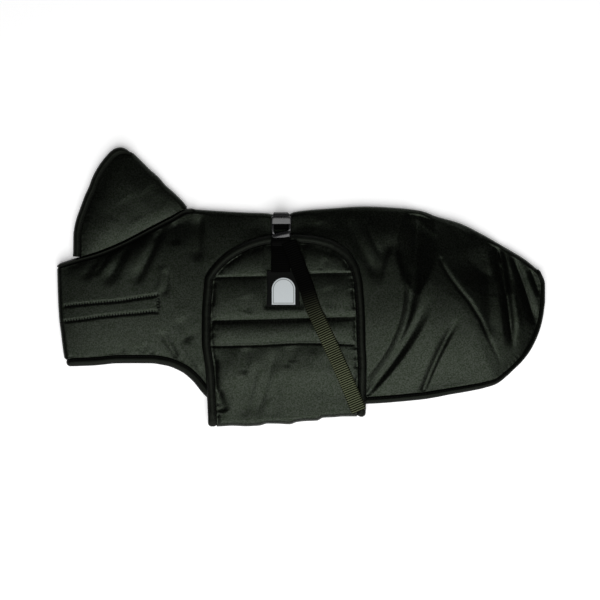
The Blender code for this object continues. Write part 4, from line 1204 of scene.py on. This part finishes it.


# The short webbing on the flap wears the shaded copy of the webbing, painted shade all along.
def makeFlapWebbing(webShaded):
    y = np.linspace(50.5, 13.0, 26)
    x = 0 * y + webbing["strapX"]
    top = np.maximum.reduce([flapTop(x + s, np.minimum(y, 44)) for s in looseEnd["across"]]) + 0.25
    centre = np.column_stack([x, y, smoothed(top, 8) + 1.9 * rise(41, 46, y)])
    makeRibbon("flapWebbing", centre, np.tile((1.0, 0, 0), (26, 1)), np.tile((0, 0, 1.0), (26, 1)),
               webShaded, ("flap_webbing",), 0.5, webbing["flapWidth"])


def makeLooseEnd(web):  # it lies over the short webbing, the label, the flap and its tape in turn
    path = evenly(np.column_stack([looseEnd["x"], looseEnd["y"]]).astype(float), 4.0)
    side = rightOf(path)
    x, y = path.T
    inY = np.clip(y, -139, 43)
    tops = [flapTop(np.clip(x + side[:, 0] * s, -95, 60), np.clip(inY + side[:, 1] * s, -139, 43))
            for s in looseEnd["across"]]
    overWeb = rise(8, 18, y) * 1.9
    overLabel = rise(-30, -22, y) * (1 - rise(8, 18, y)) * 1.2
    overTape = rise(52, 58, x) * 1.6 + rise(38, 44, y) * 1.8
    top = np.maximum.reduce(tops) + np.maximum.reduce([overWeb, overLabel, overTape]) + 0.3
    top = smoothed(top, 14)
    centre = np.column_stack([path, top])
    across = np.column_stack([-side, 0 * top])
    tangent = unit(np.gradient(centre, axis=0))
    up = unit(np.cross(across, tangent))
    up *= np.sign(up[:, 2:])
    makeRibbon("strapLooseEnd", centre, across, up, web, ("strap_loose_end",), 1.0)


buckle = {
    "place": (-21.0, 63.5, 16.6), "tilt": -2.0, "slant": 0.24, "corner": 0.32, "armCorner": 0.4,
    #            y   half   low  high
    "housing": ((2.7, 9.6, -1.9, 1.2), (2.3, 10.3, -2.6, 1.8), (2.7, 10.8, -2.95, 2.15),
                (3.6, 11, -3.05, 2.4), (5.0, 11, -3.1, 2.7), (7.0, 11, -3.1, 3.15),
                (9.0, 10.9, -3.1, 3.6), (9.9, 10.6, -3.1, 3.55), (10.4, 10.2, -3.0, 2.5),
                (11.2, 9.3, -2.7, 2.4), (12.8, 9.0, -2.5, 2.6), (13.7, 8.8, -2.2, 2.2),
                (14.2, 8.4, -1.5, 1.4)),
    "bar": ((-14.4, 9.0, -1.7, 1.0), (-14.0, 9.8, -2.3, 1.9), (-13.2, 10, -2.5, 2.2), (-11.0, 10, -2.5, 2.6),
            (-9.3, 10, -2.5, 2.85), (-8.9, 10, -2.5, 2.7), (-8.5, 10, -2.5, 1.5), (-7.4, 9.9, -2.4, 1.3),
            (-6.9, 9.5, -2.0, 1.0), (-6.5, 9.0, -1.4, 0.6)),
    "arm": ((-7.6, 1.3, -1.5, 1.4), (-5.4, 1.3, -1.6, 1.8), (-3.0, 1.2, -1.6, 1.9), (0.6, 1.2, -1.5, 1.8),
            (3.2, 1.2, -1.3, 1.6)),
    "armBow": {"y": (-7.6, -4.5, 3.2), "x": (8.0, 9.4, 9.2)},
}


# A moulded block: rounded rectangles along y, each from the signed power of a cosine across and
# of a sine up. A smaller power gives squarer corners.
def blockRings(rows, power, corners=28):
    angle = np.linspace(0, 2 * math.pi, corners, endpoint=False) + math.pi / corners
    c = np.sign(np.cos(angle)) * np.abs(np.cos(angle)) ** power
    s = np.sign(np.sin(angle)) * np.abs(np.sin(angle)) ** power
    return np.array([np.column_stack([half * c, 0 * c + y, (low + high) / 2 + (high - low) / 2 * s])
                     for y, half, low, high in rows])


def tilted(rings):  # turned about x by the tilt and moved to the buckle's place
    a = math.radians(buckle["tilt"])
    x, y, z = np.moveaxis(rings, -1, 0)
    turned = [x, y * math.cos(a) - z * math.sin(a), y * math.sin(a) + z * math.cos(a)]
    return np.stack(turned, axis=-1) + buckle["place"]


def joined(parts):  # several carried sections as one mesh's points and faces
    points, faces, start = [], [], 0
    for rings in parts:
        count, corners = rings.shape[:2]
        faces += gridFaces(count, corners, start, closed=True)
        faces.append([start + k for k in range(corners)][::-1])
        faces.append([start + (count - 1) * corners + k for k in range(corners)])
        points.append(rings.reshape(-1, 3))
        start += count * corners
    return np.concatenate(points), faces


def makeBuckle(plastic):
    points, faces = joined([tilted(blockRings(buckle["housing"], buckle["corner"]))])
    makePiece("buckleHousing", points, faces, plastic, ("buckle_housing",))
    bar = blockRings(buckle["bar"], buckle["corner"])
    bar[..., 1] += buckle["slant"] * bar[..., 0]
    arms = []
    for side in (-1, 1):
        arm = blockRings(buckle["arm"], buckle["armCorner"])
        bow = np.interp(arm[:, 0, 1], buckle["armBow"]["y"], buckle["armBow"]["x"]) * side
        arm[..., 0] += bow[:, None]
        arm[..., 1] += buckle["slant"] * bow[:, None] * np.interp(arm[..., 1], (-7.6, -3), (1, 0))
        arms.append(tilted(arm))
    points, faces = joined([tilted(bar), *arms])
    makePiece("buckleBar", points, faces, plastic, ("buckle_bar",))
    print("buckle made")


label = {"left": -36.5, "right": -1.0, "low": -23.8, "high": 15.2, "thick": 0.9, "columns": 60, "rows": 66}


# The label: a rectangle whose sides wave a little, laid on the flap's smoothed height, with a
# rounded edge and a sewn dip inside it.
def makeLabel(woven):
    u = np.linspace(0, 1, label["columns"])[None]
    v = np.linspace(0, 1, label["rows"])[:, None]
    x = label["left"] + (label["right"] - label["left"]) * u + 0 * v
    y = label["low"] + (label["high"] - label["low"]) * v + 0 * u
    x = x + 0.35 * np.sin(y * 0.21) * (u - 0.5) * 2
    y = y + 0.3 * np.sin(x * 0.19 + 1) * (v - 0.5) * 2
    ground = flapTop(x, y)
    for step in range(12):
        ground[1:-1, 1:-1] = (ground[:-2, 1:-1] + ground[2:, 1:-1] + ground[1:-1, :-2] + ground[1:-1, 2:]) / 4
    edge = np.minimum(np.minimum(u, 1 - u) * 34, np.minimum(v, 1 - v) * 38)
    top = ground + label["thick"] - 0.5 * (1 - rise(0, 0.9, edge)) - 0.25 * np.exp(-((edge - 1.8) / 0.5) ** 2)
    net = np.dstack([x, y, top])
    low = net.reshape(-1, 3)[borderOf(label["rows"], label["columns"])] - (0, 0, label["thick"])
    paddedHalf("labelPatch", net, [low], woven, ("label",))
    print("label made")


stitch = {
    "pitch": 3.1, "long": 2.3, "thick": 0.32, "hookPitch": 3.1, "hookLong": 3.4, "hookThick": 0.55,
    "flapOut": 1.6, "flapUp": 0.35, "flapEnds": 20, "edgeOut": 1.5, "edgeHigh": 10.35,
    "collarOut": 1.6, "collarHigh": 10.4,
}


# Small six-sided thread capsules along 3-d lines: each has five rings, and its radius swells
# and its middle rises between its two ends, which sink into the cloth.
def stitchesAlong(lines, pitch, long, thick, turned):
    angle = np.linspace(0, 2 * math.pi, 6, endpoint=False)
    share = np.array([-0.5, -0.42, 0.0, 0.42, 0.5])
    swell = np.array([0.25, 0.8, 1.0, 0.8, 0.25])
    sink = np.array([-0.3, -0.05, 0.12, -0.05, -0.3])
    allRings = []
    for line, up in lines:
        run = lengthAlong(line)
        at = np.arange(pitch, run[-1] - pitch, pitch)
        pick = lambda part: np.column_stack([np.interp(at, run, column) for column in part.T])
        centre = pick(line)
        forward = unit(pick(np.gradient(line, axis=0)))
        normal = unit(pick(up))
        side = unit(np.cross(normal, forward))
        if turned:
            forward, side = side, forward
        centre, forward, normal, side = (part[:, None, None] for part in (centre, forward, normal, side))
        allRings.append(centre + forward * (share * long)[None, :, None, None]
                        + normal * sink[None, :, None, None]
                        + side * (swell[:, None] * np.cos(angle) * thick)[None, :, :, None]
                        + normal * (swell[:, None] * np.sin(angle) * thick * 0.8)[None, :, :, None])
    return np.concatenate(allRings)


def makeStitches(name, lines, thread, pitch=stitch["pitch"], long=stitch["long"], thick=stitch["thick"],
                 turned=False):
    rings = stitchesAlong(lines, pitch, long, thick, turned)
    count, steps, corners = rings.shape[:3]
    one = gridFaces(steps, corners, closed=True)
    one.append(list(range(corners))[::-1])
    one.append(list(range((steps - 1) * corners, steps * corners)))
    size = steps * corners
    faces = [[index + k * size for index in face] for k in range(count) for face in one]
    makePiece(name, rings.reshape(-1, 3), faces, thread, ())
    print(name, count)


def levelLine(path, high):  # a line of points at one height, and its upward directions
    return np.column_stack([path, np.full(len(path), high)]), np.tile((0, 0, 1.0), (len(path), 1))


def makeSeams(flapLips, edgeLine, collarLine, thread):  # the stitches that hold the tapes
    outer, inner, side = flapLips
    sewn = outer + side * stitch["flapOut"] + np.array([0, 0, stitch["flapUp"]])
    near = slice(stitch["flapEnds"], -stitch["flapEnds"])
    makeStitches("flapStitches", [(sewn[near], unit(outer - inner)[near])], thread)
    lines = [levelLine(edgeLine, stitch["edgeHigh"]), levelLine(collarLine, stitch["collarHigh"])]
    makeStitches("edgeStitches", lines, thread)


def hookLines(borders):  # the sewn rows of the neck, laid on the body's own height
    lines = []
    for key in ("upper", "lower", "end"):
        path = evenly(np.array(hookRows[key], float), 0.8)
        x, y = path.T
        z = bodyHeight(x[None], y[None], bodyEdges(path[None], borders))[0] + 0.75
        lines.append((np.column_stack([path, z]), np.tile((0, 0, 1.0), (len(path), 1))))
    return lines


def flatArea(plan):  # square metres inside a net's outline
    x, y = (plan.reshape(-1, 2)[borderOf(*plan.shape[:2])] * mm).T
    return abs(float((x * np.roll(y, -1) - y * np.roll(x, -1)).sum())) / 2


def declareCloth(bodyPlan, collarPlan, flapPlan):
    body, collar, flap = (flatArea(part) for part in (bodyPlan, collarPlan, flapPlan))
    pick = lambda *names: [made[name] for name in names]
    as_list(pick("edgeTape", "edgeStitches", "hookStitches", "neckPiping"))
    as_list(pick("collarTape"))
    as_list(pick("flapTape", "flapStitches"))
    print("cloth declared", round(body, 4), round(collar, 4), round(flap, 4))


def main():
    bpy.context.scene.view_settings.view_transform = "Standard"
    makeCamera()
    makeLamp("keyLamp", studio["key"], studio["keySize"], studio["keyPower"])
    makeLamp("fillLamp", studio["fill"], studio["fillSize"], studio["fillPower"])
    makeSky()
    makeFloor()
    print("studio made")
    cloth = paintCloth()
    tapeCloth = paintTape()
    web = paintWebbing("ribbedWebbing", "lit")
    # a shaded copy of the same webbing: painted shade all along, for the girth strap and the short webbing
    webShaded = paintWebbing("shadedWebbing", "shadedCopy")
    plastic = paintPlastic()
    woven = paintLabel()
    thread = paintThread("sewingThread", "sewn")
    # a shaded copy of the thread, painted shade, for the stitches in the neck rows
    shadedThread = paintThread("shadedRowThread", "sunken")
    print("finishes made")
    plan, foldFrom, borders = makeBody(cloth)
    edgePath, edgeOut = makeEdgeTape(plan, tapeCloth)
    makePiping(plan, foldFrom, tapeCloth)
    collarPath, collarOut = makeCollar(cloth, tapeCloth)
    flapLips = makeFlap(cloth, tapeCloth, borders)
    makeGirthStrap(webShaded)
    makeFlapWebbing(webShaded)
    makeLooseEnd(web)
    print("webbing made")
    makeBuckle(plastic)
    makeLabel(woven)
    makeSeams(flapLips, edgePath + edgeOut * stitch["edgeOut"], collarPath + collarOut * stitch["collarOut"],
              thread)
    # the neck rows' stitches wear the shaded copy of the thread: their own near-black plus painted shade
    makeStitches("hookStitches", hookLines(borders), shadedThread, stitch["hookPitch"], stitch["hookLong"],
                 stitch["hookThick"], True)
    declareCloth(plan, collarNet(40, 40), flapSurface["plan"])


main()
